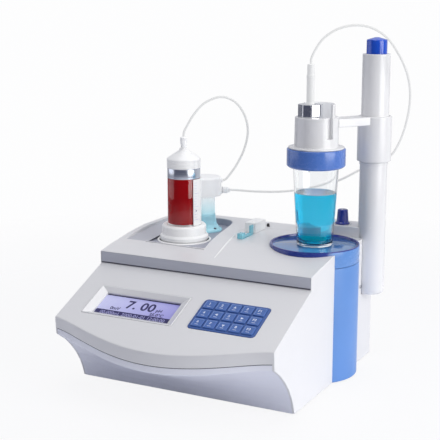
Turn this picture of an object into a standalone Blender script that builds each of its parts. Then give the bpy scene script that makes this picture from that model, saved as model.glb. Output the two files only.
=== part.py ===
"""Bench titrator with a motor-driven piston burette, a magnetic stirrer and a titration cup on a column.

Metres, +Z up, +X to the operator's right, +Y towards the back. The pieces are laid out in a bench
frame whose origin is the middle of the straight front bottom edge of the body; SHIFT then moves
everything so that the object's footprint is centred on x = y = 0 with its feet on z = 0.
"""

import math

import bmesh
import bpy
from mathutils import Vector

for old in list(bpy.data.objects):
    bpy.data.objects.remove(old, do_unlink=True)

# ---------------------------------------------------------------- driving dimensions (metres)
GAP = 0.0003                      # clearance between touching pieces
SHIFT = Vector((-0.0161, -0.09616, 0.0))

HALF_W = 0.170                    # body half width
BACK_Y = 0.291                    # back face
DECK_Z = 0.196                    # flat deck, left part
DECK_Z_RIGHT = 0.1935             # flat deck, stirrer side
LEDGE_Z = 0.2093                  # raised ledge at the back right
WALL = 0.003                      # shell wall
CORNER_X, CORNER_Y = 0.075, 0.053  # plan rounding of the back left corner

LIP_Y, LIP_Z = -0.0675, 0.109     # front edge of the sloped panel, at the sides
PANEL_TOP_Y, PANEL_TOP_Z = 0.0506, 0.160
BAND_Z = 0.179                    # top of the dark band above the panel
PANEL_LEN = math.hypot(PANEL_TOP_Y - LIP_Y, PANEL_TOP_Z - LIP_Z)
SLOPE = Vector((0.0, (PANEL_TOP_Y - LIP_Y) / PANEL_LEN, (PANEL_TOP_Z - LIP_Z) / PANEL_LEN))
NORMAL = Vector((0.0, -SLOPE.z, SLOPE.y))
LIP_BULGE, SEAM_BULGE, STRIP_BULGE = 0.0385, 0.0405, 0.043

STIR_X, STIR_Y, STIR_R = 0.1205, 0.1779, 0.0656   # stirrer drum; the cup stands on its centre
COL_X, COL_Y, COL_R = 0.1770, 0.2647, 0.0204      # column
COL_BOTTOM, COL_TOP = 0.1075, 0.4675
BUR_X, BUR_Y = -0.0828, 0.150                     # burette axis
VAL_X, VAL_Y = -0.085, 0.225                      # changeover valve axis
BAY_FLOOR = 0.185
KNOB_X, KNOB_Y = 0.130, 0.2645
GRIP_X, GRIP_Y = 0.1121, 0.1735                   # electrode block and delivery tube axis
ARM_ANGLE = math.atan2(COL_Y - STIR_Y, COL_X - STIR_X)
SLOT_ANGLE = math.radians(-30)

KEY_COLS, KEY_ROWS = 5, 3
KEYPAD_X, KEYPAD_S, KEYPAD_W, KEYPAD_H = 0.0815, 0.0513, 0.100, 0.0625
KEY_PITCH_X, KEY_PITCH_S, KEY_SIZE = 0.0190, 0.0193, 0.0165
LCD_X, LCD_S = -0.0640, 0.0497
LCD_W, LCD_H = 0.147, 0.063
TUBE_D = 0.0035


# ---------------------------------------------------------------- materials
def paint(name, colour, rough=0.45, metal=0.0, alpha=1.0, clear=0.0):
    mat = bpy.data.materials.new(name)
    mat.use_nodes = True
    shader = mat.node_tree.nodes["Principled BSDF"]
    shader.inputs["Base Color"].default_value = (*colour, 1.0)
    shader.inputs["Roughness"].default_value = rough
    shader.inputs["Metallic"].default_value = metal
    shader.inputs["Alpha"].default_value = alpha
    shader.inputs["Transmission Weight"].default_value = clear
    mat.diffuse_color = (*colour, alpha)
    return mat


WHITE = (0.80, 0.80, 0.81)
LILAC = (0.42, 0.42, 0.50)
BLUE = (0.10, 0.25, 0.62)
NAVY = (0.02, 0.05, 0.32)
CYAN = (0.05, 0.55, 0.75)


# ---------------------------------------------------------------- mesh helpers
def finish(name, bm, colour, origin=(0, 0, 0), smooth=True, angle=35, **look):
    """Bench-frame bmesh to an object whose own origin is at the given bench point."""
    bmesh.ops.remove_doubles(bm, verts=bm.verts, dist=1e-6)
    bmesh.ops.recalc_face_normals(bm, faces=bm.faces)
    origin = Vector(origin)
    bmesh.ops.translate(bm, verts=bm.verts, vec=-origin)
    mesh = bpy.data.meshes.new(name)
    bm.to_mesh(mesh)
    bm.free()
    if smooth:
        mesh.shade_smooth()
        mesh.set_sharp_from_angle(angle=math.radians(angle))
    obj = bpy.data.objects.new(name, mesh)
    obj.location = origin + SHIFT
    mesh.materials.append(paint(name + "_paint", colour, **look))
    bpy.context.scene.collection.objects.link(obj)
    return obj


def lathe_bm(profile, centre=(0, 0), steps=32, start=0.0):
    """Turns a closed (radius, z) outline about a vertical axis; points at radius 0 close it."""
    bm = bmesh.new()
    rings = []
    for r, z in profile:
        if r < 1e-7:
            rings.append([bm.verts.new((centre[0], centre[1], z))])
        else:
            rings.append([
                bm.verts.new((centre[0] + r * math.cos(start + 2 * math.pi * i / steps),
                              centre[1] + r * math.sin(start + 2 * math.pi * i / steps), z))
                for i in range(steps)])
    for k, a in enumerate(rings):
        b = rings[(k + 1) % len(rings)]
        if len(a) == 1 and len(b) == 1:
            continue
        for i in range(steps):
            j = (i + 1) % steps
            if len(a) == 1:
                bm.faces.new((a[0], b[j], b[i]))
            elif len(b) == 1:
                bm.faces.new((a[i], a[j], b[0]))
            else:
                bm.faces.new((a[i], a[j], b[j], b[i]))
    return bm


def prism_bm(outline, low, high, u=Vector((1, 0, 0)), v=Vector((0, 1, 0)), at=Vector((0, 0, 0))):
    """Extrudes an outline in the (u, v) plane from low to high along u x v."""
    w = u.cross(v)
    bm = bmesh.new()
    bottom = [bm.verts.new(at + u * a + v * b + w * low) for a, b in outline]
    top = [bm.verts.new(at + u * a + v * b + w * high) for a, b in outline]
    bm.faces.new(bottom)
    bm.faces.new(top)
    for i in range(len(outline)):
        j = (i + 1) % len(outline)
        bm.faces.new((bottom[i], bottom[j], top[j], top[i]))
    return bm


def box_bm(low, high):
    return prism_bm([(low[0], low[1]), (high[0], low[1]), (high[0], high[1]), (low[0], high[1])],
                    low[2], high[2])


def rounded(cx, cy, w, h, r, steps=4):
    """Outline of a rounded rectangle, counter-clockwise."""
    points = []
    for k, (sx, sy) in enumerate(((1, -1), (1, 1), (-1, 1), (-1, -1))):
        ox, oy = cx + sx * (w / 2 - r), cy + sy * (h / 2 - r)
        for i in range(steps + 1):
            a = math.radians(-90 + 90 * k + 90 * i / steps)
            points.append((ox + r * math.cos(a), oy + r * math.sin(a)))
    return points


def rectangle(cx, cy, w, h):
    return [(cx - w / 2, cy - h / 2), (cx + w / 2, cy - h / 2), (cx + w / 2, cy + h / 2), (cx - w / 2, cy + h / 2)]


def circle(cx, cy, r, steps=32, start=0.0):
    return [(cx + r * math.cos(start + 2 * math.pi * i / steps),
             cy + r * math.sin(start + 2 * math.pi * i / steps)) for i in range(steps)]


def merge(into, extra):
    """Adds a second closed mesh's faces to the first (for cutters made of several solids)."""
    copy = bpy.data.meshes.new("tmp")
    extra.to_mesh(copy)
    extra.free()
    into.from_mesh(copy)
    bpy.data.meshes.remove(copy)
    return into


def cutter(name, bm):
    obj = finish(name, bm, (1, 0, 0), smooth=False)
    obj.hide_render = True
    obj.display_type = "WIRE"
    return obj


def boolean(obj, other, operation="DIFFERENCE"):
    mod = obj.modifiers.new(operation.title(), "BOOLEAN")
    mod.operation = operation
    mod.object = other
    mod.solver = "EXACT"
    return obj


def cut(obj, bm, label="cut"):
    return boolean(obj, cutter(f"{label}_{obj.name}_{len(obj.modifiers)}", bm))


def join(obj, bm, label="join"):
    return boolean(obj, cutter(f"{label}_{obj.name}_{len(obj.modifiers)}", bm), "UNION")


def at_panel(x, s, n=0.0):
    """A point on the sloped control panel: x across, s up the slope from the lip, n above it."""
    return Vector((x, LIP_Y, LIP_Z)) + SLOPE * s + NORMAL * n


def panel_prism(outline, low, high):
    return prism_bm(outline, low, high, Vector((1, 0, 0)), SLOPE, at_panel(0, 0))


# ---------------------------------------------------------------- body shells
def swell(x, most):
    u = min(1.0, abs(x) / HALF_W)
    return most * (1 - u * u) ** 1.45


def swollen(x, y, z, most):
    """A point of the front profile pushed out along the panel's slope by the lip's bulge."""
    b = swell(x, most)
    return (y - b * SLOPE.y, z - b * SLOPE.z)


def back_y(x, inset=0.0):
    left = -HALF_W + CORNER_X
    if x >= left:
        return BACK_Y - inset
    u = min(1.0, (left - x) / (CORNER_X - inset)) if CORNER_X > inset else 1.0
    return BACK_Y - CORNER_Y + (CORNER_Y - inset) * math.sqrt(max(0.0, 1 - u * u))


def front_curve(x):
    """The concave lower front, from the seam down to the straight bottom edge."""
    curve = [(-0.0666, 0.0924, SEAM_BULGE), (-0.0657, 0.0835, STRIP_BULGE),
             (-0.0460, 0.0700, 0.036), (-0.0325, 0.0575, 0.027), (-0.0195, 0.0425, 0.017),
             (-0.0095, 0.0270, 0.008), (-0.0035, 0.0130, 0.002), (0.0, 0.0020, 0.0)]
    return [swollen(x, y, z, b) for y, z, b in curve]


def outer_profile(x):
    back = back_y(x)
    side = front_curve(x)[::-1]
    top = [swollen(x, LIP_Y, LIP_Z, LIP_BULGE), (PANEL_TOP_Y, PANEL_TOP_Z), (0.0505, BAND_Z),
           (0.078, 0.1842), (0.106, 0.1882), (0.129, 0.1917), (0.149, 0.1938), (0.178, DECK_Z)]
    return side + top + [(back, DECK_Z), (back, 0.0020)]


def inner_profile(x):
    back = back_y(x, WALL)
    side = [(y + 0.0034, z - 0.0012 if z > 0.01 else -0.01) for y, z in front_curve(x)[::-1]]
    y, z = swollen(x, LIP_Y, LIP_Z, LIP_BULGE)
    top = [(y + 0.0034, z - 0.0028), (PANEL_TOP_Y + 0.0022, PANEL_TOP_Z - 0.0028),
           (0.0538, BAND_Z - 0.003), (0.078, 0.1800), (0.106, 0.1822), (0.129, 0.1838),
           (0.149, 0.1852), (0.178, 0.1875)]
    return side + top + [(back, 0.1875), (back, -0.01)]


def loft_bm(stations, profile):
    bm = bmesh.new()
    rings = [[bm.verts.new((x, y, z)) for y, z in profile(x)] for x in stations]
    for a, b in zip(rings, rings[1:]):
        for i in range(len(a)):
            j = (i + 1) % len(a)
            bm.faces.new((a[i], a[j], b[j], b[i]))
    bm.faces.new(rings[0])
    bm.faces.new(rings[-1])
    return bm


def stations(half, extra=()):
    left = [-half + (CORNER_X) * (1 - math.cos(math.radians(a))) for a in (0, 15, 30, 45, 60, 75, 90)]
    rest = [-0.06 + 0.02 * i for i in range(11)]
    return sorted(set(round(v, 5) for v in left + rest + [0.155, half] + list(extra)))


housing = finish("main_housing", loft_bm(stations(HALF_W), outer_profile), WHITE, angle=25, rough=0.42)
cut(housing, loft_bm(stations(HALF_W - WALL), inner_profile), "room")

# The lower front moulding is a separate piece below the seam, between the two side cheeks.
FRONT_HALF = HALF_W - WALL - GAP


def front_wall(x):
    curve = front_curve(x)
    outer = [(y - 0.012, z - 0.004) for y, z in curve]
    inner = [(y + 0.006, z - 0.0005) for y, z in curve]
    outer[0] = (outer[0][0], curve[0][1])
    inner[0] = (inner[0][0], curve[0][1])
    outer[-1] = (outer[-1][0], -0.005)
    inner[-1] = (inner[-1][0], -0.005)
    return outer + inner[::-1]


cut(housing, loft_bm([v for v in stations(FRONT_HALF + GAP)], front_wall), "front")


def lower_front(x):
    curve = front_curve(x)
    outer = [(y, z) for y, z in curve]
    inner = [(y + 0.0030, z - 0.0008) for y, z in curve]
    outer[0] = (curve[0][0], curve[0][1] - GAP)
    inner[0] = (curve[0][0] + 0.0030, curve[0][1] - GAP)
    inner[-1] = (curve[-1][0] + 0.0030, curve[-1][1])
    return outer + inner[::-1]


finish("lower_front_panel", loft_bm(stations(FRONT_HALF), lower_front), WHITE, angle=25, rough=0.42)

# Stirrer side of the deck, 2.5 mm lower, with a slanted step.
low_deck = prism_bm([(0.010, 0.075), (-0.012, 0.200), (-0.012, 0.300), (0.180, 0.300), (0.180, 0.075)],
                    DECK_Z_RIGHT, 0.21)
cut(housing, low_deck, "low_deck")
# Raised ledge at the back right, joined to the shell.
join(housing, box_bm((0.085, 0.2480, DECK_Z_RIGHT - 0.0025), (HALF_W, BACK_Y, LEDGE_Z)), "ledge")
cut(housing, box_bm((0.0885, 0.2510, 0.150), (HALF_W - WALL, BACK_Y - WALL, LEDGE_Z - 0.003)), "ledge_room")

# White block standing on the deck, behind the small rest.
join(housing, box_bm((-0.0060, 0.2035, DECK_Z_RIGHT - 0.0025), (0.0118, 0.2400, LEDGE_Z)), "block")

# Burette bay: a tray let into the deck, with its own floor.
BAY = [(-0.1215, 0.1040), (-0.0220, 0.1000), (-0.0280, 0.1300), (-0.0360, 0.1860), (-0.0470, 0.2380),
       (-0.0520, 0.2530), (-0.0610, 0.2650), (-0.0750, 0.2710), (-0.0930, 0.2700), (-0.1120, 0.2620),
       (-0.1270, 0.2470), (-0.1350, 0.2240), (-0.1370, 0.1900), (-0.1340, 0.1500), (-0.1290, 0.1180)]


def grown(outline, by):
    cx = sum(p[0] for p in outline) / len(outline)
    cy = sum(p[1] for p in outline) / len(outline)
    out = []
    for x, y in outline:
        d = math.hypot(x - cx, y - cy)
        out.append((x + (x - cx) / d * by, y + (y - cy) / d * by))
    return out


join(housing, prism_bm(grown(BAY, 0.003), BAY_FLOOR - 0.003, 0.1885), "tray")
# Shallow dish in the deck to the left of the bay: its floor rises towards the back.
DISH = [(0.1035, 0.1862), (0.2450, 0.1960), (0.2450, 0.2200), (0.1035, 0.2200)]
dish = prism_bm(DISH, -0.1600, -0.1215, Vector((0, 1, 0)), Vector((0, 0, 1)))
cut(housing, dish, "dish")
cut(housing, prism_bm(BAY, BAY_FLOOR, 0.22), "bay")
cut(housing, lathe_bm([(0, 0.17), (0.0090, 0.17), (0.0090, 0.20), (0, 0.20)], (BUR_X, BUR_Y), 24), "rod_hole")

# Round openings for the stirrer drum and for the column let into the right side.
cut(housing, lathe_bm([(0, -0.01), (STIR_R + 0.0006, -0.01), (STIR_R + 0.0006, 0.24), (0, 0.24)],
                      (STIR_X, STIR_Y), 44), "drum")
cut(housing, lathe_bm([(0, COL_BOTTOM - GAP), (COL_R + 0.0006, COL_BOTTOM - GAP), (COL_R + 0.0006, 0.24), (0, 0.24)],
                      (COL_X, COL_Y), 32), "column")
cut(housing, lathe_bm([(0, 0.19), (0.0036, 0.19), (0.0036, 0.23), (0, 0.23)], (KNOB_X, KNOB_Y), 16), "spindle")

# Window and keypad openings in the sloped panel, and the back panel's opening.
cut(housing, panel_prism(rectangle(LCD_X, LCD_S, LCD_W + 2 * GAP, LCD_H + 2 * GAP), -0.012, 0.01), "lcd")
cut(housing, panel_prism(rounded(KEYPAD_X, KEYPAD_S, KEYPAD_W + 2 * GAP, KEYPAD_H + 2 * GAP, 0.006, 3),
                         -0.012, 0.01), "keys")
cut(housing, box_bm((-0.085, BACK_Y - 0.010, 0.030), (0.085, BACK_Y + 0.010, 0.130)), "back")
# Shallow groove that holds the dark band.
cut(housing, box_bm((-HALF_W + 0.0012, 0.040, PANEL_TOP_Z + 0.0012),
                    (HALF_W - 0.0012, 0.0524, BAND_Z - 0.0004)), "band")

finish("fascia_band", box_bm((-HALF_W + 0.0015, 0.0509, PANEL_TOP_Z + 0.0015),
                             (HALF_W - 0.0015, 0.0521, BAND_Z - 0.0007)), LILAC, smooth=False, rough=0.5)


def plan_outline(inset, y0):
    """Plan of the body's bottom, with the rounded back left corner."""
    left = [(-HALF_W + CORNER_X - (CORNER_X - inset) * math.cos(math.radians(a)),
             BACK_Y - CORNER_Y + (CORNER_Y - inset) * math.sin(math.radians(a)))
            for a in (0, 20, 40, 60, 80, 90)]
    return [(HALF_W - inset, y0), (HALF_W - inset, BACK_Y - inset)] + left[::-1] + [(-HALF_W + inset, y0)]


pan = finish("base_pan", prism_bm(plan_outline(WALL + 0.0015, 0.0036), 0.0040, 0.0070), (0.55, 0.55, 0.58),
             smooth=False, rough=0.4, metal=0.6)
cut(pan, lathe_bm([(0, 0), (STIR_R + 0.001, 0), (STIR_R + 0.001, 0.02), (0, 0.02)], (STIR_X, STIR_Y), 32), "drum")

for name, y in (("front_foot_strip", 0.022), ("rear_foot_strip", 0.268)):
    finish(name, prism_bm(rounded(0 if y < 0.1 else 0.004, y, 0.26 if y < 0.1 else 0.22, 0.014, 0.006, 3),
                          0.0, 0.0040 - GAP), (0.03, 0.03, 0.035), smooth=False, rough=0.8)

# Back panel: plate with a socket recess, and the rocker switch that tilts in it.
rear = finish("rear_panel", box_bm((-0.085 + GAP, BACK_Y - 0.0035, 0.030 + GAP),
                                   (0.085 - GAP, BACK_Y + 0.0006, 0.130 - GAP)), (0.25, 0.26, 0.30), smooth=False)
join(rear, box_bm((-0.074, BACK_Y - 0.022, 0.040), (-0.036, BACK_Y - 0.002, 0.072)), "inlet_body")
cut(rear, box_bm((-0.0685, BACK_Y - 0.0195, 0.0455), (-0.0415, BACK_Y + 0.002, 0.0665)), "inlet")
cut(rear, box_bm((-0.0290, BACK_Y - 0.006, 0.0445), (-0.0130, BACK_Y + 0.002, 0.0675)), "switch")
for i in range(3):
    x = 0.012 + 0.028 * i
    join(rear, prism_bm(circle(0, 0, 0.0070, 20), 0, 0.0105, Vector((-1, 0, 0)), Vector((0, 0, 1)),
                        Vector((x, BACK_Y - 0.004, 0.056))), "socket")
    cut(rear, prism_bm(circle(0, 0, 0.0048, 16), 0.003, 0.02, Vector((-1, 0, 0)), Vector((0, 0, 1)),
                       Vector((x, BACK_Y - 0.004, 0.056))), "bore")
SWITCH_Z = 0.056
finish("power_switch", prism_bm([(-0.0098, 0.0007), (0.0098, 0.0007), (0.0098, 0.0030), (0.0, 0.0022),
                                 (-0.0098, 0.0052), (-0.0098, 0.0040)][:4] + [(-0.0098, 0.0052)],
                                -0.0070, 0.0070, Vector((0, 0, 1)), Vector((0, 1, 0)),
                                Vector((-0.0210, BACK_Y - 0.0045, SWITCH_Z))),
       (0.02, 0.02, 0.02), origin=(-0.0210, BACK_Y - 0.0030, SWITCH_Z), smooth=False)

# ---------------------------------------------------------------- display and keypad
bezel = finish("display_bezel", panel_prism(rectangle(LCD_X, LCD_S, LCD_W, LCD_H), -0.0075, 0.0004), WHITE, smooth=False)
GLASS_W, GLASS_H = 0.1225, 0.0450


def bevel_cut():
    bm = bmesh.new()
    loops = []
    for n, grow in ((-0.0048, 0.0), (0.0006, 1.0)):
        w = GLASS_W + grow * (LCD_W - 0.003 - GLASS_W)
        h = GLASS_H + grow * (LCD_H - 0.003 - GLASS_H)
        loops.append([bm.verts.new(at_panel(LCD_X + sx * w / 2, LCD_S + sy * h / 2, n))
                      for sx, sy in ((-1, -1), (1, -1), (1, 1), (-1, 1))])
    bm.faces.new(loops[0])
    bm.faces.new(loops[1])
    for i in range(4):
        j = (i + 1) % 4
        bm.faces.new((loops[0][i], loops[0][j], loops[1][j], loops[1][i]))
    return bm


cut(bezel, bevel_cut(), "bevel")
cut(bezel, panel_prism(rectangle(LCD_X, LCD_S, GLASS_W, GLASS_H), -0.010, -0.0040), "view")
finish("lcd_module", panel_prism(rounded(LCD_X, LCD_S, GLASS_W + 0.012, GLASS_H + 0.010, 0.0015, 1), -0.0150, -0.0078),
       (0.45, 0.45, 0.85), smooth=False, rough=0.2)

plate = finish("keypad_plate", panel_prism(rounded(KEYPAD_X, KEYPAD_S, KEYPAD_W, KEYPAD_H, 0.006, 3), -0.0035, 0.0006),
               (0.06, 0.16, 0.45), smooth=False)
holes = None
for row in range(KEY_ROWS):
    for col in range(KEY_COLS):
        cx = KEYPAD_X + (col - 2) * KEY_PITCH_X
        cs = KEYPAD_S + (1 - row) * KEY_PITCH_S
        hole = panel_prism(rectangle(cx, cs, KEY_SIZE + 2 * GAP, KEY_SIZE + 2 * GAP), -0.01, 0.004)
        holes = hole if holes is None else merge(holes, hole)
        w = KEY_SIZE
        bm = bmesh.new()
        loops = []
        for n, size in ((-0.0032, w), (0.0016, w), (0.0022, w - 0.0016)):
            loops.append([bm.verts.new(at_panel(cx + sx * size / 2, cs + sy * size / 2, n))
                          for sx, sy in ((-1, -1), (1, -1), (1, 1), (-1, 1))])
        bm.faces.new(loops[0])
        bm.faces.new(loops[-1])
        for a, b in zip(loops, loops[1:]):
            for i in range(4):
                j = (i + 1) % 4
                bm.faces.new((a[i], a[j], b[j], b[i]))
        finish(f"key_r{row + 1}c{col + 1}", bm, BLUE, origin=at_panel(cx, cs), smooth=False)
cut(plate, holes, "key_holes")

# ---------------------------------------------------------------- magnetic stirrer
SX, SY = STIR_X, STIR_Y
TOP_CAP_Z = 0.1720                # seam between the drum and its top cap
DISC_Z, RIM_Z = 0.1940, 0.1965
finish("stirrer_drum", lathe_bm([(STIR_R, 0.0020), (STIR_R, TOP_CAP_Z - GAP), (STIR_R - 0.0025, TOP_CAP_Z - GAP),
                                 (STIR_R - 0.0025, 0.0020)], (SX, SY), 44), BLUE, rough=0.3)
finish("stirrer_top", lathe_bm([(0, DISC_Z), (STIR_R - 0.0030, DISC_Z), (STIR_R - 0.0024, RIM_Z),
                                (STIR_R - 0.0006, RIM_Z), (STIR_R, RIM_Z - 0.0006), (STIR_R, TOP_CAP_Z),
                                (STIR_R - 0.0025, TOP_CAP_Z), (STIR_R - 0.0025, DISC_Z - 0.0025),
                                (0, DISC_Z - 0.0025)], (SX, SY), 44), NAVY, rough=0.25)
finish("stirrer_motor", lathe_bm([(0, 0.1120), (0.0180, 0.1120), (0.0180, 0.1540), (0.0035, 0.1540),
                                  (0.0035, 0.1560), (0, 0.1560)], (SX, SY), 24), (0.35, 0.35, 0.38), metal=0.9)
rotor = finish("magnet_rotor", lathe_bm([(0, 0.1640), (0.0200, 0.1640), (0.0200, 0.1700), (0, 0.1700)], (SX, SY), 24),
               (0.30, 0.30, 0.33), origin=(SX, SY, 0.164), metal=0.8)
join(rotor, box_bm((SX - 0.0240, SY - 0.0070, 0.1690), (SX + 0.0240, SY + 0.0070, 0.1800)), "magnet")
join(rotor, lathe_bm([(0, 0.1563), (0.0025, 0.1563), (0.0025, 0.1650), (0, 0.1650)], (SX, SY), 12), "spindle")
bracket = finish("motor_bracket", box_bm((SX - 0.0500, SY - 0.0130, 0.1085), (SX + 0.0500, SY + 0.0130, 0.1117)),
                 (0.6, 0.6, 0.62), smooth=False, metal=0.8)
join(bracket, box_bm((SX - 0.0500, SY - 0.0130, 0.0060), (SX - 0.0470, SY + 0.0130, 0.1110)), "leg")
join(bracket, box_bm((SX + 0.0470, SY - 0.0130, 0.0060), (SX + 0.0500, SY + 0.0130, 0.1110)), "leg")

# ---------------------------------------------------------------- speed knob on the ledge
KZ = LEDGE_Z + GAP
knob = finish("speed_knob", lathe_bm([(0, KZ + 0.0222), (0.0066, KZ + 0.0222), (0.0076, KZ + 0.0212),
                                      (0.0090, KZ + 0.0030), (0.0112, KZ + 0.0012), (0.0112, KZ), (0.0030, KZ),
                                      (0.0030, 0.1990), (0, 0.1990)], (KNOB_X, KNOB_Y), 24),
              NAVY, origin=(KNOB_X, KNOB_Y, KZ), rough=0.35)

# ---------------------------------------------------------------- piston burette
bx, by = BUR_X, BUR_Y
GLASS_R, GLASS_IN = 0.0248, 0.0230
finish("burette_collar", lathe_bm([(0.0256, BAY_FLOOR + GAP), (0.0368, BAY_FLOOR + GAP), (0.0368, 0.1935),
                                   (0.0355, 0.1950), (0.0336, 0.1955), (0.0336, 0.2075), (0.0312, 0.2105),
                                   (0.0256, 0.2105)], (bx, by), 28), WHITE, rough=0.35)
finish("burette_glass", lathe_bm([(GLASS_IN, 0.1905), (GLASS_R, 0.1905), (GLASS_R, 0.2812), (GLASS_IN, 0.2812)],
                                 (bx, by), 28), (0.9, 0.95, 0.97), rough=0.02, clear=1.0, alpha=0.35)
finish("chrome_ring", lathe_bm([(GLASS_IN, 0.2815), (0.0249, 0.2815), (0.0249, 0.2967), (GLASS_IN, 0.2967)],
                               (bx, by), 28), (0.8, 0.8, 0.82), rough=0.08, metal=1.0)
finish("burette_cap", lathe_bm([(0, 0.2905), (GLASS_IN - GAP, 0.2905), (GLASS_IN - GAP, 0.2970), (0.0255, 0.2970),
                                (0.0255, 0.3100), (0.0248, 0.3112), (0.0062, 0.3238), (0.0052, 0.3262),
                                (0, 0.3262)], (bx, by), 28), WHITE, rough=0.3)
finish("cap_fitting", lathe_bm([(0, 0.3265), (0.0040, 0.3265), (0.0040, 0.3325), (0.0053, 0.3333),
                                (0.0053, 0.3420), (0.0040, 0.3430), (0, 0.3430)], (bx, by), 16), WHITE, rough=0.3)
PISTON_TOP = 0.2120
finish("titrant", lathe_bm([(0, PISTON_TOP + GAP), (GLASS_IN - GAP, PISTON_TOP + GAP), (GLASS_IN - GAP, 0.2810),
                            (0, 0.2810)], (bx, by), 28), (0.55, 0.01, 0.02), rough=0.1, clear=0.6)
finish("piston", lathe_bm([(0, PISTON_TOP), (GLASS_IN - 0.0006, PISTON_TOP), (GLASS_IN - 0.0006, 0.2000),
                           (0.0072, 0.2000), (0.0072, 0.1050), (0.0046, 0.1050), (0.0046, 0.1960), (0, 0.1960)],
                          (bx, by), 28), (0.85, 0.85, 0.86), origin=(bx, by, PISTON_TOP), rough=0.4)
finish("lead_screw", lathe_bm([(0, 0.0503), (0.0030, 0.0503), (0.0030, 0.0600), (0.0042, 0.0600),
                               (0.0042, 0.1900), (0, 0.1900)], (bx, by), 16), (0.6, 0.6, 0.62),
       origin=(bx, by, 0.0503), metal=1.0, rough=0.3)
finish("drive_motor", box_bm((bx - 0.021, by - 0.021, 0.0073), (bx + 0.021, by + 0.021, 0.0500)),
       (0.12, 0.12, 0.13), smooth=False, metal=0.6)


def arc_wall(r0, r1, z0, z1, a0, a1, centre, steps):
    outline = [(centre[0] + r * math.cos(a), centre[1] + r * math.sin(a))
               for r, turn in ((r1, range(steps + 1)), (r0, range(steps, -1, -1)))
               for a in [math.radians(a0 + (a1 - a0) * i / steps) for i in turn]]
    return prism_bm(outline, z0, z1)


finish("scale_shield", arc_wall(0.0251, 0.0264, 0.2108, 0.2812, -28, 150, (bx, by), 22), WHITE, rough=0.35)

# ---------------------------------------------------------------- changeover valve
vx, vy = VAL_X, VAL_Y
finish("valve_base", lathe_bm([(0, BAY_FLOOR + GAP), (0.0250, BAY_FLOOR + GAP), (0.0250, 0.1880), (0.0205, 0.1915),
                               (0.0165, 0.1975), (0.0150, 0.2040), (0.0145, 0.2120), (0, 0.2120)], (vx, vy), 28),
       CYAN, rough=0.15, clear=0.5)
finish("valve_body", lathe_bm([(0, 0.2123), (0.0139, 0.2123), (0.0139, 0.2412), (0, 0.2412)], (vx, vy), 28),
       (0.85, 0.90, 0.92), rough=0.3, clear=0.3)
valve_head = finish("valve_head", lathe_bm([(0.0082, 0.2415), (0.0235, 0.2415), (0.0238, 0.2440), (0.0238, 0.2690),
                                            (0.0215, 0.2717), (0, 0.2717), (0, 0.2625), (0.0082, 0.2625)],
                                           (vx, vy), 28), WHITE, rough=0.35)
finish("valve_rotor", lathe_bm([(0, 0.2418), (0.0077, 0.2418), (0.0077, 0.2620), (0, 0.2620)], (vx, vy), 24),
       (0.8, 0.8, 0.78), origin=(vx, vy, 0.2418), rough=0.4)
PORT = math.radians(27.6)
port_dir = Vector((math.cos(PORT), math.sin(PORT), 0))
port_side = Vector((-math.sin(PORT), math.cos(PORT), 0))
PORT_Z = 0.2497
port_at = Vector((vx, vy, PORT_Z))
join(valve_head, prism_bm(circle(0, 0, 0.0062, 16), 0.0200, 0.0252, port_side, Vector((0, 0, 1)), port_at), "boss")


def turned_along(steps, profile, at, u, v):
    """Closed turning about the axis u x v through a point; profile is (radius, distance)."""
    w = u.cross(v)
    bm = lathe_bm(profile, steps=steps)
    for vert in bm.verts:
        x, y, z = vert.co
        vert.co = at + u * x + v * y + w * z
    return bm


finish("valve_fitting", turned_along(16, [(0, 0.0255), (0.0050, 0.0255), (0.0050, 0.0330), (0.0036, 0.0350),
                                          (0.0036, 0.0375), (0, 0.0375)], port_at, port_side, Vector((0, 0, 1))),
       WHITE, rough=0.35)

rest = finish("tip_rest", box_bm((0.004, 0.157, DECK_Z_RIGHT + GAP), (0.0125, 0.168, 0.2020)), CYAN, smooth=False,
              rough=0.1, clear=0.5)
join(rest, box_bm((0.0080, 0.165, DECK_Z_RIGHT + GAP), (0.0125, 0.196, 0.1978)), "leg")
join(rest, box_bm((0.0098, 0.186, DECK_Z_RIGHT + GAP), (0.0125, 0.196, 0.2090)), "post")

# ---------------------------------------------------------------- column and carriage
finish("column", lathe_bm([(0, COL_BOTTOM), (COL_R - 0.0070, COL_BOTTOM), (COL_R - 0.0020, COL_BOTTOM + 0.0022),
                           (COL_R, COL_BOTTOM + 0.0070), (COL_R, COL_TOP - 0.0008), (COL_R - 0.0008, COL_TOP),
                           (0.0163, COL_TOP), (0.0163, COL_TOP - 0.022), (0, COL_TOP - 0.022)],
                          (COL_X, COL_Y), 32), WHITE, rough=0.35)
finish("column_cap", lathe_bm([(0, COL_TOP - 0.0217), (0.0158, COL_TOP - 0.0217), (0.0158, COL_TOP + 0.0196),
                               (0.0150, COL_TOP + 0.0206), (0, COL_TOP + 0.0240)], (COL_X, COL_Y), 32),
       BLUE, rough=0.25)

ARM_Z0, ARM_Z1, SLEEVE_Z0, SLEEVE_R = 0.3650, 0.3770, 0.3102, 0.0252
arm_u = Vector((math.cos(ARM_ANGLE), math.sin(ARM_ANGLE), 0))
arm_v = Vector((-math.sin(ARM_ANGLE), math.cos(ARM_ANGLE), 0))
arm_l = math.hypot(COL_X - STIR_X, COL_Y - STIR_Y)
carriage = finish("carriage", lathe_bm([(0, SLEEVE_Z0), (SLEEVE_R - 0.001, SLEEVE_Z0), (SLEEVE_R, SLEEVE_Z0 + 0.001),
                                        (SLEEVE_R, 0.3768 - 0.001), (SLEEVE_R - 0.001, 0.3768), (0, 0.3768)],
                                       (COL_X, COL_Y), 32), WHITE, origin=(COL_X, COL_Y, SLEEVE_Z0), rough=0.35)
join(carriage, prism_bm([(0.020, -0.0154), (arm_l, -0.0154), (arm_l, 0.0154), (0.020, 0.0154)], ARM_Z0, ARM_Z1,
                        arm_u, arm_v, Vector((STIR_X, STIR_Y, 0))), "arm")
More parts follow.
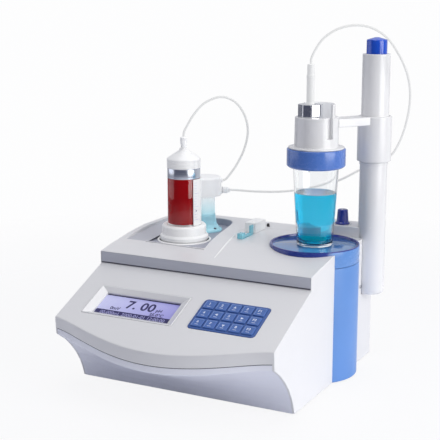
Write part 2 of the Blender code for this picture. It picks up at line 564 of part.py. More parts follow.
cut(carriage, lathe_bm([(0, 0.30), (COL_R + GAP, 0.30), (COL_R + GAP, 0.39), (0, 0.39)], (COL_X, COL_Y), 32), "bore")
cut(carriage, lathe_bm([(0, 0.30), (0.0322, 0.30), (0.0322, 0.39), (0, 0.39)], (STIR_X, STIR_Y), 32), "seat")

# ---------------------------------------------------------------- titration head, ring, cup
HEAD_LOW, HEAD_TOP, WALL_TOP = 0.3160, 0.3815, 0.4012
head = finish("titration_head", lathe_bm([(0, HEAD_LOW), (0.0365, HEAD_LOW), (0.0365, 0.3362), (0.0404, 0.3362),
                                          (0.0404, 0.3382), (0.0319, 0.3385), (0.0313, 0.3812), (0.0265, 0.3818),
                                          (0.0262, WALL_TOP), (0.0240, WALL_TOP), (0.0240, 0.3760), (0, 0.3760)],
                                         (STIR_X, STIR_Y), 32), WHITE,
              origin=(STIR_X, STIR_Y, HEAD_LOW), rough=0.35)
wedge = [(STIR_X, STIR_Y)] + [(STIR_X + 0.045 * math.cos(math.radians(a)), STIR_Y + 0.045 * math.sin(math.radians(a)))
                              for a in range(-200, -9, 19)]
cut(head, prism_bm(wedge, HEAD_TOP, 0.42), "open_front")
slot_u = Vector((math.cos(SLOT_ANGLE), math.sin(SLOT_ANGLE), 0))
slot_v = Vector((-math.sin(SLOT_ANGLE), math.cos(SLOT_ANGLE), 0))
cut(head, lathe_bm([(0, 0.3758), (0.0182, 0.3758), (0.0182, 0.3835), (0, 0.3835)], (GRIP_X, GRIP_Y), 32), "pocket")
cut(head, prism_bm([(0.0250, -0.00465), (0.045, -0.00465), (0.045, 0.00465), (0.0250, 0.00465)], 0.3490, 0.42,
                   slot_u, slot_v, Vector((STIR_X, STIR_Y, 0))), "slot")
TIP_R = 0.0056
cut(head, lathe_bm([(0, 0.30), (0.0034, 0.30), (0.0034, 0.3700), (0.0062, 0.3700), (0.0062, 0.40), (0, 0.40)],
                   (GRIP_X, GRIP_Y), 16), "tip_bore")
for i in range(2):
    a = math.radians(60 + 90 * i)
    cut(head, lathe_bm([(0, 0.30), (0.0062, 0.30), (0.0062, 0.40), (0, 0.40)],
                       (STIR_X + 0.017 * math.cos(a), STIR_Y + 0.017 * math.sin(a)), 16), "electrode_port")

# Bright metal electrode block: eight flats with grooves between, bored for the delivery tube.
flutes = []
for i in range(8):
    a = math.radians(45 * i + 5)
    for da, r in ((-18, 0.0176), (18, 0.0176), (22.5, 0.0160)):
        flutes.append((GRIP_X + r * math.cos(a + math.radians(da)), GRIP_Y + r * math.sin(a + math.radians(da))))
block = finish("electrode_block", prism_bm(flutes, 0.3763, 0.3993), (0.75, 0.75, 0.78), smooth=False,
               origin=(GRIP_X, GRIP_Y, 0.3763), rough=0.12, metal=1.0)
cut(block, lathe_bm([(0, 0.35), (0.0062, 0.35), (0.0062, 0.42), (0, 0.42)], (GRIP_X, GRIP_Y), 20), "bore")
for i in range(2):
    a = math.radians(60 + 90 * i)
    cut(block, lathe_bm([(0, 0.36), (0.0066, 0.36), (0.0066, 0.42), (0, 0.42)],
                        (STIR_X + 0.017 * math.cos(a), STIR_Y + 0.017 * math.sin(a)), 16), "electrode_port")

finish("clamp_ring", lathe_bm([(0.0346, 0.3084), (0.0385, 0.3084), (0.0415, 0.3096), (0.0425, 0.3125), (0.0425, 0.3347),
                               (0.0413, 0.3359), (0.0370, 0.3359), (0.0370, 0.3162), (0.0382, 0.3162), (0.0382, 0.3110),
                               (0.0346, 0.3110)], (STIR_X, STIR_Y), 32),
       BLUE, origin=(STIR_X, STIR_Y, 0.3084), rough=0.35)
CUP_Z = DISC_Z + GAP
finish("cup", lathe_bm([(0, CUP_Z), (0.0252, CUP_Z), (0.0262, CUP_Z + 0.0015), (0.0334, 0.3113), (0.0378, 0.3113),
                        (0.0378, 0.3157), (0.0318, 0.3157), (0.0245, CUP_Z + 0.0090), (0.0215, CUP_Z + 0.0070),
                        (0, CUP_Z + 0.0065)], (STIR_X, STIR_Y), 32),
       (0.9, 0.95, 0.97), origin=(STIR_X, STIR_Y, CUP_Z), rough=0.02, clear=1.0, alpha=0.35)
LIQ = 0.0008


def cup_in(z):
    return 0.0245 + (z - (CUP_Z + 0.0090)) * (0.0318 - 0.0245) / (0.3157 - (CUP_Z + 0.0090)) - LIQ


finish("cup_liquid", lathe_bm([(0.0165, CUP_Z + 0.0076), (0.0212, CUP_Z + 0.0078), (cup_in(0.2060), 0.2060),
                               (cup_in(0.2713), 0.2713), (0, 0.2713), (0, 0.2130), (0.0165, 0.2130)],
                              (STIR_X, STIR_Y), 32), (0.02, 0.45, 0.75), rough=0.05, clear=0.6)
finish("stir_bar", turned_along(12, [(0, -0.0145), (0.0022, -0.0140), (0.0035, -0.0115), (0.0035, 0.0115),
                                     (0.0022, 0.0140), (0, 0.0145)], Vector((SX, SY, CUP_Z + 0.0066 + 0.0038)),
                                Vector((0, 1, 0)), Vector((0, 0, 1))),
       (0.9, 0.9, 0.9), origin=(SX, SY, CUP_Z + 0.0104), rough=0.3)

# Delivery tube: a stepped sleeve held in the block, with the fine tip below the head.
finish("delivery_tube", lathe_bm([(0, 0.3010), (0.0011, 0.3010), (0.0030, 0.3080), (0.0030, 0.3703), (0.0058, 0.3703),
                                  (0.0058, 0.4365), (0.0061, 0.4370), (0.0061, 0.4405), (0.0053, 0.4410),
                                  (0.0053, 0.4560), (0, 0.4560)], (GRIP_X, GRIP_Y), 20), WHITE,
       origin=(GRIP_X, GRIP_Y, 0.3703), rough=0.35)


# ---------------------------------------------------------------- tubing
def smooth_route(points, count):
    """Evenly spaced points along a smooth curve through the route's own points."""
    pts = [Vector(p) for p in points]
    pts = [pts[0] * 2 - pts[1]] + pts + [pts[-1] * 2 - pts[-2]]
    dense = []
    for i in range(1, len(pts) - 2):
        a, b, c, d = pts[i - 1:i + 3]
        ts = [0.0]
        for p, q in ((a, b), (b, c), (c, d)):
            ts.append(ts[-1] + max(1e-5, (q - p).length) ** 0.5)
        for k in range(24):
            t = ts[1] + (ts[2] - ts[1]) * k / 24
            a1 = a * ((ts[1] - t) / (ts[1] - ts[0])) + b * ((t - ts[0]) / (ts[1] - ts[0]))
            a2 = b * ((ts[2] - t) / (ts[2] - ts[1])) + c * ((t - ts[1]) / (ts[2] - ts[1]))
            a3 = c * ((ts[3] - t) / (ts[3] - ts[2])) + d * ((t - ts[2]) / (ts[3] - ts[2]))
            b1 = a1 * ((ts[2] - t) / (ts[2] - ts[0])) + a2 * ((t - ts[0]) / (ts[2] - ts[0]))
            b2 = a2 * ((ts[3] - t) / (ts[3] - ts[1])) + a3 * ((t - ts[1]) / (ts[3] - ts[1]))
            dense.append(b1 * ((ts[2] - t) / (ts[2] - ts[1])) + b2 * ((t - ts[1]) / (ts[2] - ts[1])))
    dense.append(pts[-2])
    run = [0.0]
    for p, q in zip(dense, dense[1:]):
        run.append(run[-1] + (q - p).length)
    out, k = [], 0
    for i in range(count):
        want = run[-1] * i / (count - 1)
        while k < len(run) - 2 and run[k + 1] < want:
            k += 1
        f = (want - run[k]) / max(1e-9, run[k + 1] - run[k])
        out.append(dense[k].lerp(dense[k + 1], min(1.0, f)))
    return out


def tube(name, route, count):
    curve = bpy.data.curves.new(name, "CURVE")
    curve.dimensions = "3D"
    curve.bevel_depth = TUBE_D / 2
    curve.bevel_resolution = 2
    curve.use_fill_caps = True
    spline = curve.splines.new("POLY")
    points = smooth_route(route, count)
    spline.points.add(len(points) - 1)
    for p, co in zip(spline.points, points):
        p.co = (*co, 1.0)
    obj = bpy.data.objects.new(name, curve)
    obj.location = SHIFT
    curve.materials.append(paint(name + "_paint", (0.85, 0.87, 0.88), rough=0.25, clear=0.4))
    bpy.context.scene.collection.objects.link(obj)
    return obj


# From the burette's cap, up and over to the valve head.
TUBE_1 = [(bx, by, 0.3434), (bx + 0.0008, by, 0.3500), (-0.0768, 0.152, 0.3610), (-0.0685, 0.157, 0.3770),
          (-0.0545, 0.166, 0.3940), (-0.0330, 0.178, 0.4025), (-0.0165, 0.190, 0.3945), (-0.0060, 0.200, 0.3750),
          (-0.0045, 0.209, 0.3500), (-0.0155, 0.219, 0.3200), (-0.0335, 0.228, 0.2925), (-0.0500, 0.2355, 0.2740),
          (-0.0591, 0.2381, 0.2658), (-0.0631, 0.23605, 0.2650)]
# From the valve's side port, behind the cup and the column, over the top and down into the delivery tube.
TUBE_2 = [(port_at.x + port_dir.x * 0.0379, port_at.y + port_dir.y * 0.0379, PORT_Z),
          (port_at.x + port_dir.x * 0.0460, port_at.y + port_dir.y * 0.0460, PORT_Z - 0.0002),
          (-0.0140, 0.2520, 0.2490), (0.0220, 0.2560, 0.2508), (0.0520, 0.2600, 0.2550), (0.0880, 0.2690, 0.2630),
          (0.1180, 0.2810, 0.2735), (0.1430, 0.2960, 0.2880), (0.1650, 0.3030, 0.3000), (0.1900, 0.3010, 0.3125),
          (0.2050, 0.2960, 0.3340), (0.2190, 0.2860, 0.3690), (0.2275, 0.2720, 0.4080), (0.2260, 0.2580, 0.4415),
          (0.2170, 0.2430, 0.4700), (0.2030, 0.2280, 0.4940), (0.1845, 0.2140, 0.5070), (0.1640, 0.2010, 0.5100),
          (0.1430, 0.1900, 0.5040), (0.1260, 0.1810, 0.4905), (0.1155, 0.1752, 0.4720),
          (GRIP_X, GRIP_Y, 0.4620), (GRIP_X, GRIP_Y, 0.4564)]
tube("tube_burette_to_valve", TUBE_1, 28)
tube("tube_valve_to_head", TUBE_2, 64)
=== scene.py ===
"""Looks of the bench titrator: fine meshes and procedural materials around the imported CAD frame.

Metres. The pieces are laid out in a bench frame (origin: middle of the body's straight front
bottom edge) and SHIFT moves them into the row frame, as the CAD source does.
"""

import math

import bmesh
import bpy
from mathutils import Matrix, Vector
from mathutils.geometry import delaunay_2d_cdt


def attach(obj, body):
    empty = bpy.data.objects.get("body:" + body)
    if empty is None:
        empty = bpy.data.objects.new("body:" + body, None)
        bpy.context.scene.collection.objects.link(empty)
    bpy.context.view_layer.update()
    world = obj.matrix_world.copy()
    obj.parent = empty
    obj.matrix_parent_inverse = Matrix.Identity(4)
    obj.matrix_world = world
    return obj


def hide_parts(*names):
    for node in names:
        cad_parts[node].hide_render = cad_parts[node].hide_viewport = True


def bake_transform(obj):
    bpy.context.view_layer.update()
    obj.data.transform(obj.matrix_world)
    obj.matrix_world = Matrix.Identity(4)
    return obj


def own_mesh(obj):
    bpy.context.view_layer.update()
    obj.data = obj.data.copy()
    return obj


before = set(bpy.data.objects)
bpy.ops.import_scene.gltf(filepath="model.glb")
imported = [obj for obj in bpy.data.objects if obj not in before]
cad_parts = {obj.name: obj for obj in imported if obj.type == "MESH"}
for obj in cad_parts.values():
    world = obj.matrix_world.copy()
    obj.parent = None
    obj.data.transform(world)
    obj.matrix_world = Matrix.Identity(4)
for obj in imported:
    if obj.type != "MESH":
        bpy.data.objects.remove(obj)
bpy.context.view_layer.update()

# ---------------------------------------------------------------- dimensions shared with the CAD
GAP = 0.0003
SHIFT = Vector((-0.0161, -0.09616, 0.0))
HALF_W, BACK_Y = 0.170, 0.291
DECK_Z, DECK_Z_RIGHT, LEDGE_Z, WALL = 0.196, 0.1935, 0.2093, 0.003
CORNER_X, CORNER_Y = 0.075, 0.053
LIP_Y, LIP_Z = -0.0675, 0.109
PANEL_TOP_Y, PANEL_TOP_Z, BAND_Z = 0.0506, 0.160, 0.179
PANEL_LEN = math.hypot(PANEL_TOP_Y - LIP_Y, PANEL_TOP_Z - LIP_Z)
SLOPE = Vector((0.0, (PANEL_TOP_Y - LIP_Y) / PANEL_LEN, (PANEL_TOP_Z - LIP_Z) / PANEL_LEN))
NORMAL = Vector((0.0, -SLOPE.z, SLOPE.y))
LIP_BULGE, SEAM_BULGE, STRIP_BULGE = 0.0385, 0.0405, 0.043
STIR_X, STIR_Y, STIR_R = 0.1205, 0.1779, 0.0656
COL_X, COL_Y, COL_R, COL_BOTTOM, COL_TOP = 0.1770, 0.2647, 0.0204, 0.1075, 0.4675
BUR_X, BUR_Y, VAL_X, VAL_Y, BAY_FLOOR = -0.0828, 0.150, -0.085, 0.225, 0.185
KNOB_X, KNOB_Y, GRIP_X, GRIP_Y = 0.130, 0.2645, 0.1121, 0.1735
ARM_ANGLE = math.atan2(COL_Y - STIR_Y, COL_X - STIR_X)
SLOT_ANGLE = math.radians(-30)
KEYPAD_X, KEYPAD_S, KEYPAD_W, KEYPAD_H = 0.0815, 0.0513, 0.100, 0.0625
KEY_PITCH_X, KEY_PITCH_S, KEY_SIZE = 0.0190, 0.0193, 0.0165
LCD_X, LCD_S, LCD_W, LCD_H, GLASS_W, GLASS_H = -0.0640, 0.0497, 0.147, 0.063, 0.1225, 0.0450
TUBE_D = 0.0035
X, Y, Z = Vector((1, 0, 0)), Vector((0, 1, 0)), Vector((0, 0, 1))


# ---------------------------------------------------------------- materials
class Mat:
    """A procedural material under construction; detail is in object coordinates, in metres."""

    def __init__(self, name):
        self.mat = bpy.data.materials.new(name)
        self.mat.use_nodes = True
        self.tree = self.mat.node_tree
        self.shader = self.tree.nodes["Principled BSDF"]
        self.coord = self.tree.nodes.new("ShaderNodeTexCoord").outputs["Object"]

    def node(self, kind, **inputs):
        n = self.tree.nodes.new(kind)
        for key, value in inputs.items():
            key = key.replace("_", " ")
            if isinstance(value, bpy.types.NodeSocket):
                self.tree.links.new(value, n.inputs[key])
            else:
                n.inputs[key].default_value = value
        return n

    def link(self, a, b):
        self.tree.links.new(a, b)

    def set(self, **values):
        for key, value in values.items():
            self.shader.inputs[key.replace("_", " ")].default_value = value
        return self

    def stretched(self, sx, sy, sz):
        m = self.tree.nodes.new("ShaderNodeMapping")
        m.inputs["Scale"].default_value = (sx, sy, sz)
        self.link(self.coord, m.inputs["Vector"])
        return m.outputs["Vector"]

    def noise(self, scale, detail=3.0, rough=0.55, vector=None):
        n = self.tree.nodes.new("ShaderNodeTexNoise")
        n.inputs["Scale"].default_value = scale
        n.inputs["Detail"].default_value = detail
        n.inputs["Roughness"].default_value = rough
        self.link(vector or self.coord, n.inputs["Vector"])
        return n.outputs["Fac"]

    def spread(self, value, low, high, start=0.3, end=0.7):
        n = self.tree.nodes.new("ShaderNodeMapRange")
        n.inputs["From Min"].default_value = start
        n.inputs["From Max"].default_value = end
        n.inputs["To Min"].default_value = low
        n.inputs["To Max"].default_value = high
        self.link(value, n.inputs["Value"])
        return n.outputs["Result"]

    def blend(self, factor, a, b):
        n = self.tree.nodes.new("ShaderNodeMix")
        n.data_type = "RGBA"
        self.link(factor, n.inputs["Factor"])
        for socket, value in ((n.inputs[6], a), (n.inputs[7], b)):
            if isinstance(value, bpy.types.NodeSocket):
                self.link(value, socket)
            else:
                socket.default_value = (*value, 1.0)
        return n.outputs[2]

    def height(self, value, strength, distance, normal=None):
        n = self.tree.nodes.new("ShaderNodeBump")
        n.inputs["Strength"].default_value = strength
        n.inputs["Distance"].default_value = distance
        self.link(value, n.inputs["Height"])
        if normal is not None:
            self.link(normal, n.inputs["Normal"])
        return n.outputs["Normal"]


def shade(colour, by):
    return tuple(min(1.0, max(0.0, c * by)) for c in colour)


def plastic(name, colour, rough=0.4, vary=0.03, rough_vary=0.06, grain=1500.0, bump=0.12, scuff=0.25, coat=0.0,
            coat_rough=0.1, **extra):
    """Moulded plastic: slow tone drift, fine mould texture, handling marks in the gloss."""
    m = Mat(name)
    drift = m.spread(m.noise(9.0, 4.0), 0.0, 1.0)
    tone = m.blend(drift, shade(colour, 1 - vary), shade(colour, 1 + vary))
    fleck = m.spread(m.noise(900.0, 2.0), 0.0, 0.5, 0.62, 0.80)
    tone = m.blend(fleck, tone, shade(colour, 1 - 2.2 * vary))
    m.link(tone, m.shader.inputs["Base Color"])
    marks = m.noise(1.0, 6.0, 0.7, m.stretched(90, 260, 140))
    gloss = m.spread(marks, rough - rough_vary * (1 - scuff), rough + rough_vary * (1 + scuff), 0.35, 0.7)
    m.link(gloss, m.shader.inputs["Roughness"])
    skin = m.height(m.noise(grain, 3.0), bump, 0.00012)
    wave = m.height(m.noise(28.0, 2.0), 0.10, 0.0006, skin)
    m.link(wave, m.shader.inputs["Normal"])
    m.set(IOR=1.5, Coat_Weight=coat, Coat_Roughness=coat_rough)
    m.set(**extra)
    return m.mat


def metal(name, colour, rough, lines=(40, 40, 3000), bump=0.25, rough_vary=0.08, vary=0.05, aniso=0.0):
    """Worked metal: tool lines along one direction, stains in the tone, uneven polish."""
    m = Mat(name)
    stain = m.spread(m.noise(60.0, 4.0), 0.0, 1.0)
    m.link(m.blend(stain, shade(colour, 1 - vary), shade(colour, 1 + vary * 0.5)), m.shader.inputs["Base Color"])
    worked = m.noise(1.0, 3.0, 0.6, m.stretched(*lines))
    m.link(m.spread(worked, max(0.02, rough - rough_vary), rough + rough_vary), m.shader.inputs["Roughness"])
    m.link(m.height(worked, bump, 0.00006), m.shader.inputs["Normal"])
    m.set(Metallic=1.0, Anisotropic=aniso)
    return m.mat


def clear(name, tint, rough=0.01, ior=1.47, smear=0.03, wave=0.05, through=1.0, **extra):
    """Glass or liquid: clean body with faint smears and slow waviness in the surface."""
    m = Mat(name)
    drift = m.spread(m.noise(22.0, 3.0), 0.0, 1.0)
    m.link(m.blend(drift, shade(tint, 0.985), shade(tint, 1.0)), m.shader.inputs["Base Color"])
    marks = m.noise(1.0, 5.0, 0.65, m.stretched(60, 60, 25))
    m.link(m.spread(marks, rough, rough + smear, 0.45, 0.8), m.shader.inputs["Roughness"])
    m.link(m.height(m.noise(1.0, 2.0, 0.5, m.stretched(40, 40, 9)), wave, 0.0005), m.shader.inputs["Normal"])
    m.set(IOR=ior, Transmission_Weight=through)
    m.set(**extra)
    return m.mat


WHITE = (0.80, 0.80, 0.805)
M = {}
M["white_body"] = plastic("white_body", (0.765, 0.765, 0.775), rough=0.36, vary=0.012, bump=0.10, scuff=0.3)
# front_shade_tint: the white plastic of the lower front with the lilac cast of shaded front faces painted into its
# colour (painted shade tint)
M["front_shade_tint"] = plastic("front_shade_tint", (0.83, 0.845, 0.92), rough=0.36, vary=0.014, bump=0.10, scuff=0.3)
M["white_gloss"] = plastic("white_gloss", (0.82, 0.82, 0.825), rough=0.22, vary=0.01, rough_vary=0.05, bump=0.05,
                           coat=0.25, coat_rough=0.08)
# white_glow: white plastic that also glows faintly (emission 0.06), painted light that brightens it on every side
M["white_glow"] = plastic("white_glow", (0.93, 0.93, 0.92), rough=0.3, vary=0.008, bump=0.05, Emission_Color=(1, 1, 0.98, 1), Emission_Strength=0.06)
# lilac_band: the white plastic darkened to lilac grey, painted shade of the forward-facing band
M["lilac_band"] = plastic("lilac_band", (0.52, 0.535, 0.60), rough=0.42, vary=0.02, bump=0.16)
# shadow_and_screw_dark: near-black for the valve foot's screw, and painted shadow for the dark strips and rings set
# into gaps
M["shadow_and_screw_dark"] = plastic("shadow_and_screw_dark", (0.10, 0.10, 0.13), rough=0.6, vary=0.06, bump=0.2)
M["blue_plastic"] = plastic("blue_plastic", (0.085, 0.195, 0.58), rough=0.26, vary=0.05, bump=0.06, coat=0.6,
                            coat_rough=0.12)
M["drum_blue"] = plastic("drum_blue", (0.125, 0.285, 0.66), rough=0.34, vary=0.05, bump=0.08)
M["drum_top_blue"] = plastic("drum_top_blue", (0.105, 0.250, 0.62), rough=0.30, vary=0.05, bump=0.06, coat=0.15)
M["disc_blue"] = plastic("disc_blue", (0.085, 0.25, 0.56), rough=0.12, vary=0.06, rough_vary=0.05, bump=0.04, coat=0.7,
                         coat_rough=0.06)
M["dish_shade_grey"] = plastic("dish_shade_grey", (0.52, 0.53, 0.58), rough=0.40, vary=0.02, bump=0.12)
M["bay_shade_grey"] = plastic("bay_shade_grey", (0.40, 0.41, 0.48), rough=0.42, vary=0.02, bump=0.12)
M["royal_blue"] = plastic("royal_blue", (0.012, 0.085, 0.60), rough=0.18, vary=0.06, bump=0.04, coat=0.4,
                          coat_rough=0.06)
M["navy_plastic"] = plastic("navy_plastic", (0.016, 0.035, 0.30), rough=0.16, vary=0.08, rough_vary=0.05, bump=0.04,
                            coat=0.5, coat_rough=0.05)
M["key_blue"] = plastic("key_blue", (0.055, 0.140, 0.43), rough=0.36, vary=0.05, bump=0.15, coat=0.15)
M["keypad_blue"] = plastic("keypad_blue", (0.040, 0.105, 0.34), rough=0.40, vary=0.06, bump=0.12)
# key_edge_highlight: light blue for the painted highlight strips on the keys
M["key_edge_highlight"] = plastic("key_edge_highlight", (0.26, 0.38, 0.68), rough=0.35, vary=0.04, bump=0.08)
M["legend"] = plastic("legend", (0.72, 0.78, 0.90), rough=0.5, vary=0.03, bump=0.1)
M["navy_ink"] = plastic("navy_ink", (0.018, 0.014, 0.115), rough=0.35, vary=0.08, bump=0.05)
M["pale_ink"] = plastic("pale_ink", (0.42, 0.42, 0.74), rough=0.35, vary=0.05, bump=0.05)
# ptfe: white PTFE that also glows faintly (emission 0.08), painted light
M["ptfe"] = plastic("ptfe", (0.93, 0.935, 0.93), rough=0.40, vary=0.008, bump=0.04, Transmission_Weight=0.35, Specular_IOR_Level=0.35, Emission_Color=(1, 1, 1, 1),
                    Emission_Strength=0.08)
# valve_white glows faintly (emission 0.10), painted light that brightens the valve head, nuts and gland
M["valve_white"] = plastic("valve_white", (0.95, 0.95, 0.945), rough=0.34, vary=0.006, bump=0.04, coat=0.1, Specular_IOR_Level=0.4, Emission_Color=(1, 1, 1, 1), Emission_Strength=0.10)
M["black_plastic"] = plastic("black_plastic", (0.022, 0.022, 0.026), rough=0.45, vary=0.12, bump=0.3)
M["motor_dark"] = metal("motor_dark", (0.10, 0.10, 0.11), 0.42, vary=0.15)
M["rear_grey"] = plastic("rear_grey", (0.16, 0.165, 0.19), rough=0.5, vary=0.05, bump=0.35, grain=1100)
M["rubber"] = plastic("rubber", (0.018, 0.018, 0.02), rough=0.72, vary=0.15, bump=0.6, grain=700)
M["steel"] = metal("steel", (0.62, 0.62, 0.64), 0.26, lines=(30, 30, 2600), bump=0.3)
M["steel_plate"] = metal("steel_plate", (0.60, 0.61, 0.63), 0.40, lines=(18, 2200, 2200), bump=0.25, vary=0.08)
M["chrome"] = metal("chrome", (0.86, 0.87, 0.90), 0.055, lines=(20, 20, 1600), bump=0.04, rough_vary=0.025, vary=0.02)
M["ring_chrome"] = metal("ring_chrome", (0.80, 0.84, 0.91), 0.24, lines=(20, 20, 1600), bump=0.04, rough_vary=0.03, vary=0.02)
M["brushed"] = metal("brushed", (0.83, 0.84, 0.87), 0.14, lines=(1900, 1900, 14), bump=0.18, rough_vary=0.07, vary=0.03)
M["brass"] = metal("brass", (0.66, 0.47, 0.20), 0.30, lines=(30, 30, 2600), bump=0.25)
M["clear_glass"] = clear("clear_glass", (0.985, 0.995, 1.0), rough=0.0, ior=1.47, smear=0.02)
M["burette_glass"] = clear("burette_glass", (0.98, 0.99, 1.0), rough=0.0, ior=1.47, smear=0.015, Specular_IOR_Level=0.22)
M["titrant_red"] = clear("titrant_red", (0.86, 0.0, 0.002), rough=0.05, ior=1.40, smear=0.02, through=0.35, Specular_IOR_Level=0.2)
M["sample_cyan"] = clear("sample_cyan", (0.0, 0.62, 0.94), rough=0.0, ior=1.38, smear=0.015, through=0.84, Specular_IOR_Level=0.25)
# cyan_clear and cyan_rest both glow faintly in cyan (emission 0.10 and 0.04), painted light
M["cyan_clear"] = clear("cyan_clear", (0.58, 0.86, 0.93), rough=0.20, ior=1.30, smear=0.08, through=0.60,
                        Emission_Color=(0.45, 0.82, 0.95, 1), Emission_Strength=0.10)
M["cyan_rest"] = clear("cyan_rest", (0.36, 0.76, 0.86), rough=0.16, ior=1.40, smear=0.08, through=0.45,
                       Emission_Color=(0.30, 0.75, 0.88, 1), Emission_Strength=0.04)
# tube_glow: a dim grey base with a strong white glow (emission 0.42), painted light that keeps the tubing evenly light
# on every side
M["tube_glow"] = plastic("tube_glow", (0.40, 0.405, 0.40), rough=0.55, vary=0.008, bump=0.0, Transmission_Weight=0.10, Specular_IOR_Level=0.15, IOR=1.25,
                         Emission_Color=(1, 1, 1, 1), Emission_Strength=0.42)
# ptfe_glow: a grey base with a white glow (emission 0.33), painted light for the delivery sleeve
M["ptfe_glow"] = plastic("ptfe_glow", (0.52, 0.525, 0.52), rough=0.48, vary=0.008, bump=0.04, Specular_IOR_Level=0.25,
                        Emission_Color=(1, 1, 1, 1), Emission_Strength=0.33)
# wall_glow_white: white that glows (emission 0.20), painted light
M["wall_glow_white"] = plastic("wall_glow_white", (0.90, 0.905, 0.915), rough=0.45, vary=0.008, bump=0.04, Specular_IOR_Level=0.3,
                         Emission_Color=(0.96, 0.97, 1, 1), Emission_Strength=0.20)


def valve_material():
    """Frosted translucent barrel: white at the top, turning cyan towards the foot."""
    m = Mat("valve_frost")
    sep = m.tree.nodes.new("ShaderNodeSeparateXYZ")
    m.link(m.coord, sep.inputs["Vector"])
    low = m.spread(sep.outputs["Z"], 0.0, 1.0, 0.210, 0.240)
    wob = m.noise(55.0, 3.0)
    mixed = m.node("ShaderNodeMath")
    mixed.operation = "ADD"
    m.link(low, mixed.inputs[0])
    m.link(m.spread(wob, -0.12, 0.12), mixed.inputs[1])
    m.link(m.blend(mixed.outputs[0], (0.50, 0.84, 0.93), (0.95, 0.955, 0.96)), m.shader.inputs["Base Color"])
    m.link(m.spread(m.noise(70.0, 3.0), 0.16, 0.30), m.shader.inputs["Roughness"])
    m.link(m.height(m.noise(1200.0, 2.0), 0.06, 0.0001), m.shader.inputs["Normal"])
    # The faint emission is painted light: the barrel glows a little though it is no lamp.
    m.set(IOR=1.2, Transmission_Weight=0.62, Coat_Weight=0.2, Coat_Roughness=0.1, Emission_Color=(0.94, 0.97, 1, 1), Emission_Strength=0.08)
    return m.mat


def display_material():
    """Backlit liquid crystal field: lavender, brighter at one end, with a fine dot grid."""
    m = Mat("display_glass")
    sep = m.tree.nodes.new("ShaderNodeSeparateXYZ")
    m.link(m.coord, sep.inputs["Vector"])
    across = m.spread(sep.outputs["X"], 0.0, 1.0, -0.14, -0.02)
    tone = m.blend(across, (0.60, 0.61, 0.87), (0.34, 0.33, 0.72))
    grid = m.tree.nodes.new("ShaderNodeTexBrick")
    grid.inputs["Scale"].default_value = 1.0
    grid.inputs["Brick Width"].default_value = 0.0008
    grid.inputs["Row Height"].default_value = 0.0008
    grid.inputs["Mortar Size"].default_value = 0.00008
    grid.offset = 0.0
    m.link(m.coord, grid.inputs["Vector"])
    cell = m.spread(grid.outputs["Fac"], 0.0, 0.22, 0.0, 1.0)
    tone = m.blend(cell, tone, (0.24, 0.23, 0.60))
    m.link(tone, m.shader.inputs["Base Color"])
    m.link(tone, m.shader.inputs["Emission Color"])
    m.link(m.spread(m.noise(40.0, 3.0), 0.14, 0.22), m.shader.inputs["Roughness"])
    m.set(Emission_Strength=0.15, Coat_Weight=0.6, Coat_Roughness=0.05, IOR=1.5)
    return m.mat




def collar_material():
    m = Mat("collar_shade_blue")
    sep = m.tree.nodes.new("ShaderNodeSeparateXYZ")
    m.link(m.coord, sep.inputs["Vector"])
    # Painted shade: the band is dark navy on its left and lighter blue on its right, split at a fixed x, standing in
    # for the shaded side and the lit side.
    side = m.spread(sep.outputs["X"], 0.0, 1.0, 0.145, 0.152)
    drift = m.spread(m.noise(12.0, 3.0), 0.0, 1.0)
    dark = m.blend(drift, (0.026, 0.045, 0.27), (0.030, 0.056, 0.31))
    light = m.blend(drift, (0.105, 0.255, 0.60), (0.115, 0.275, 0.64))
    m.link(m.blend(side, dark, light), m.shader.inputs["Base Color"])
    m.link(m.spread(m.noise(1.0, 5.0, 0.65, m.stretched(60, 60, 200)), 0.20, 0.34), m.shader.inputs["Roughness"])
    m.link(m.height(m.noise(1400.0, 2.0), 0.06, 0.0001), m.shader.inputs["Normal"])
    m.set(IOR=1.5, Coat_Weight=0.3, Coat_Roughness=0.08)
    return m.mat


M["collar_shade_blue"] = collar_material()
M["valve_frost"] = valve_material()
M["display_glass"] = display_material()


# ---------------------------------------------------------------- mesh helpers
def soften(points, closed=True, steps=4):
    """Outline with its corners (x, y, radius) turned into arcs. Every corner with a radius gives the same count."""
    out, count = [], len(points)
    for i, (px, py, r) in enumerate(points):
        if r <= 0 or (not closed and i in (0, count - 1)):
            out.append((px, py))
            continue
        b = Vector((px, py))
        u = Vector(points[i - 1][:2]) - b
        v = Vector(points[(i + 1) % count][:2]) - b
        lu, lv = u.length, v.length
        u.normalize()
        v.normalize()
        half = max(1e-4, u.angle(v) / 2)
        if half > math.pi / 2 - 0.004:
            out.extend([(px + (v.x - u.x) * 0.5e-4 * (k - steps / 2) / steps,
                         py + (v.y - u.y) * 0.5e-4 * (k - steps / 2) / steps) for k in range(steps + 1)])
            continue
        d = min(r / math.tan(half), lu * 0.48, lv * 0.48)
        rr = d * math.tan(half)
        c = b + (u + v).normalized() * (rr / math.sin(half))
        p0, p1 = b + u * d - c, b + v * d - c
        a0 = math.atan2(p0.y, p0.x)
        turn = (math.atan2(p1.y, p1.x) - a0 + math.pi) % (2 * math.pi) - math.pi
        for k in range(steps + 1):
            a = a0 + turn * k / steps
            out.append((c.x + rr * math.cos(a), c.y + rr * math.sin(a)))
    return out


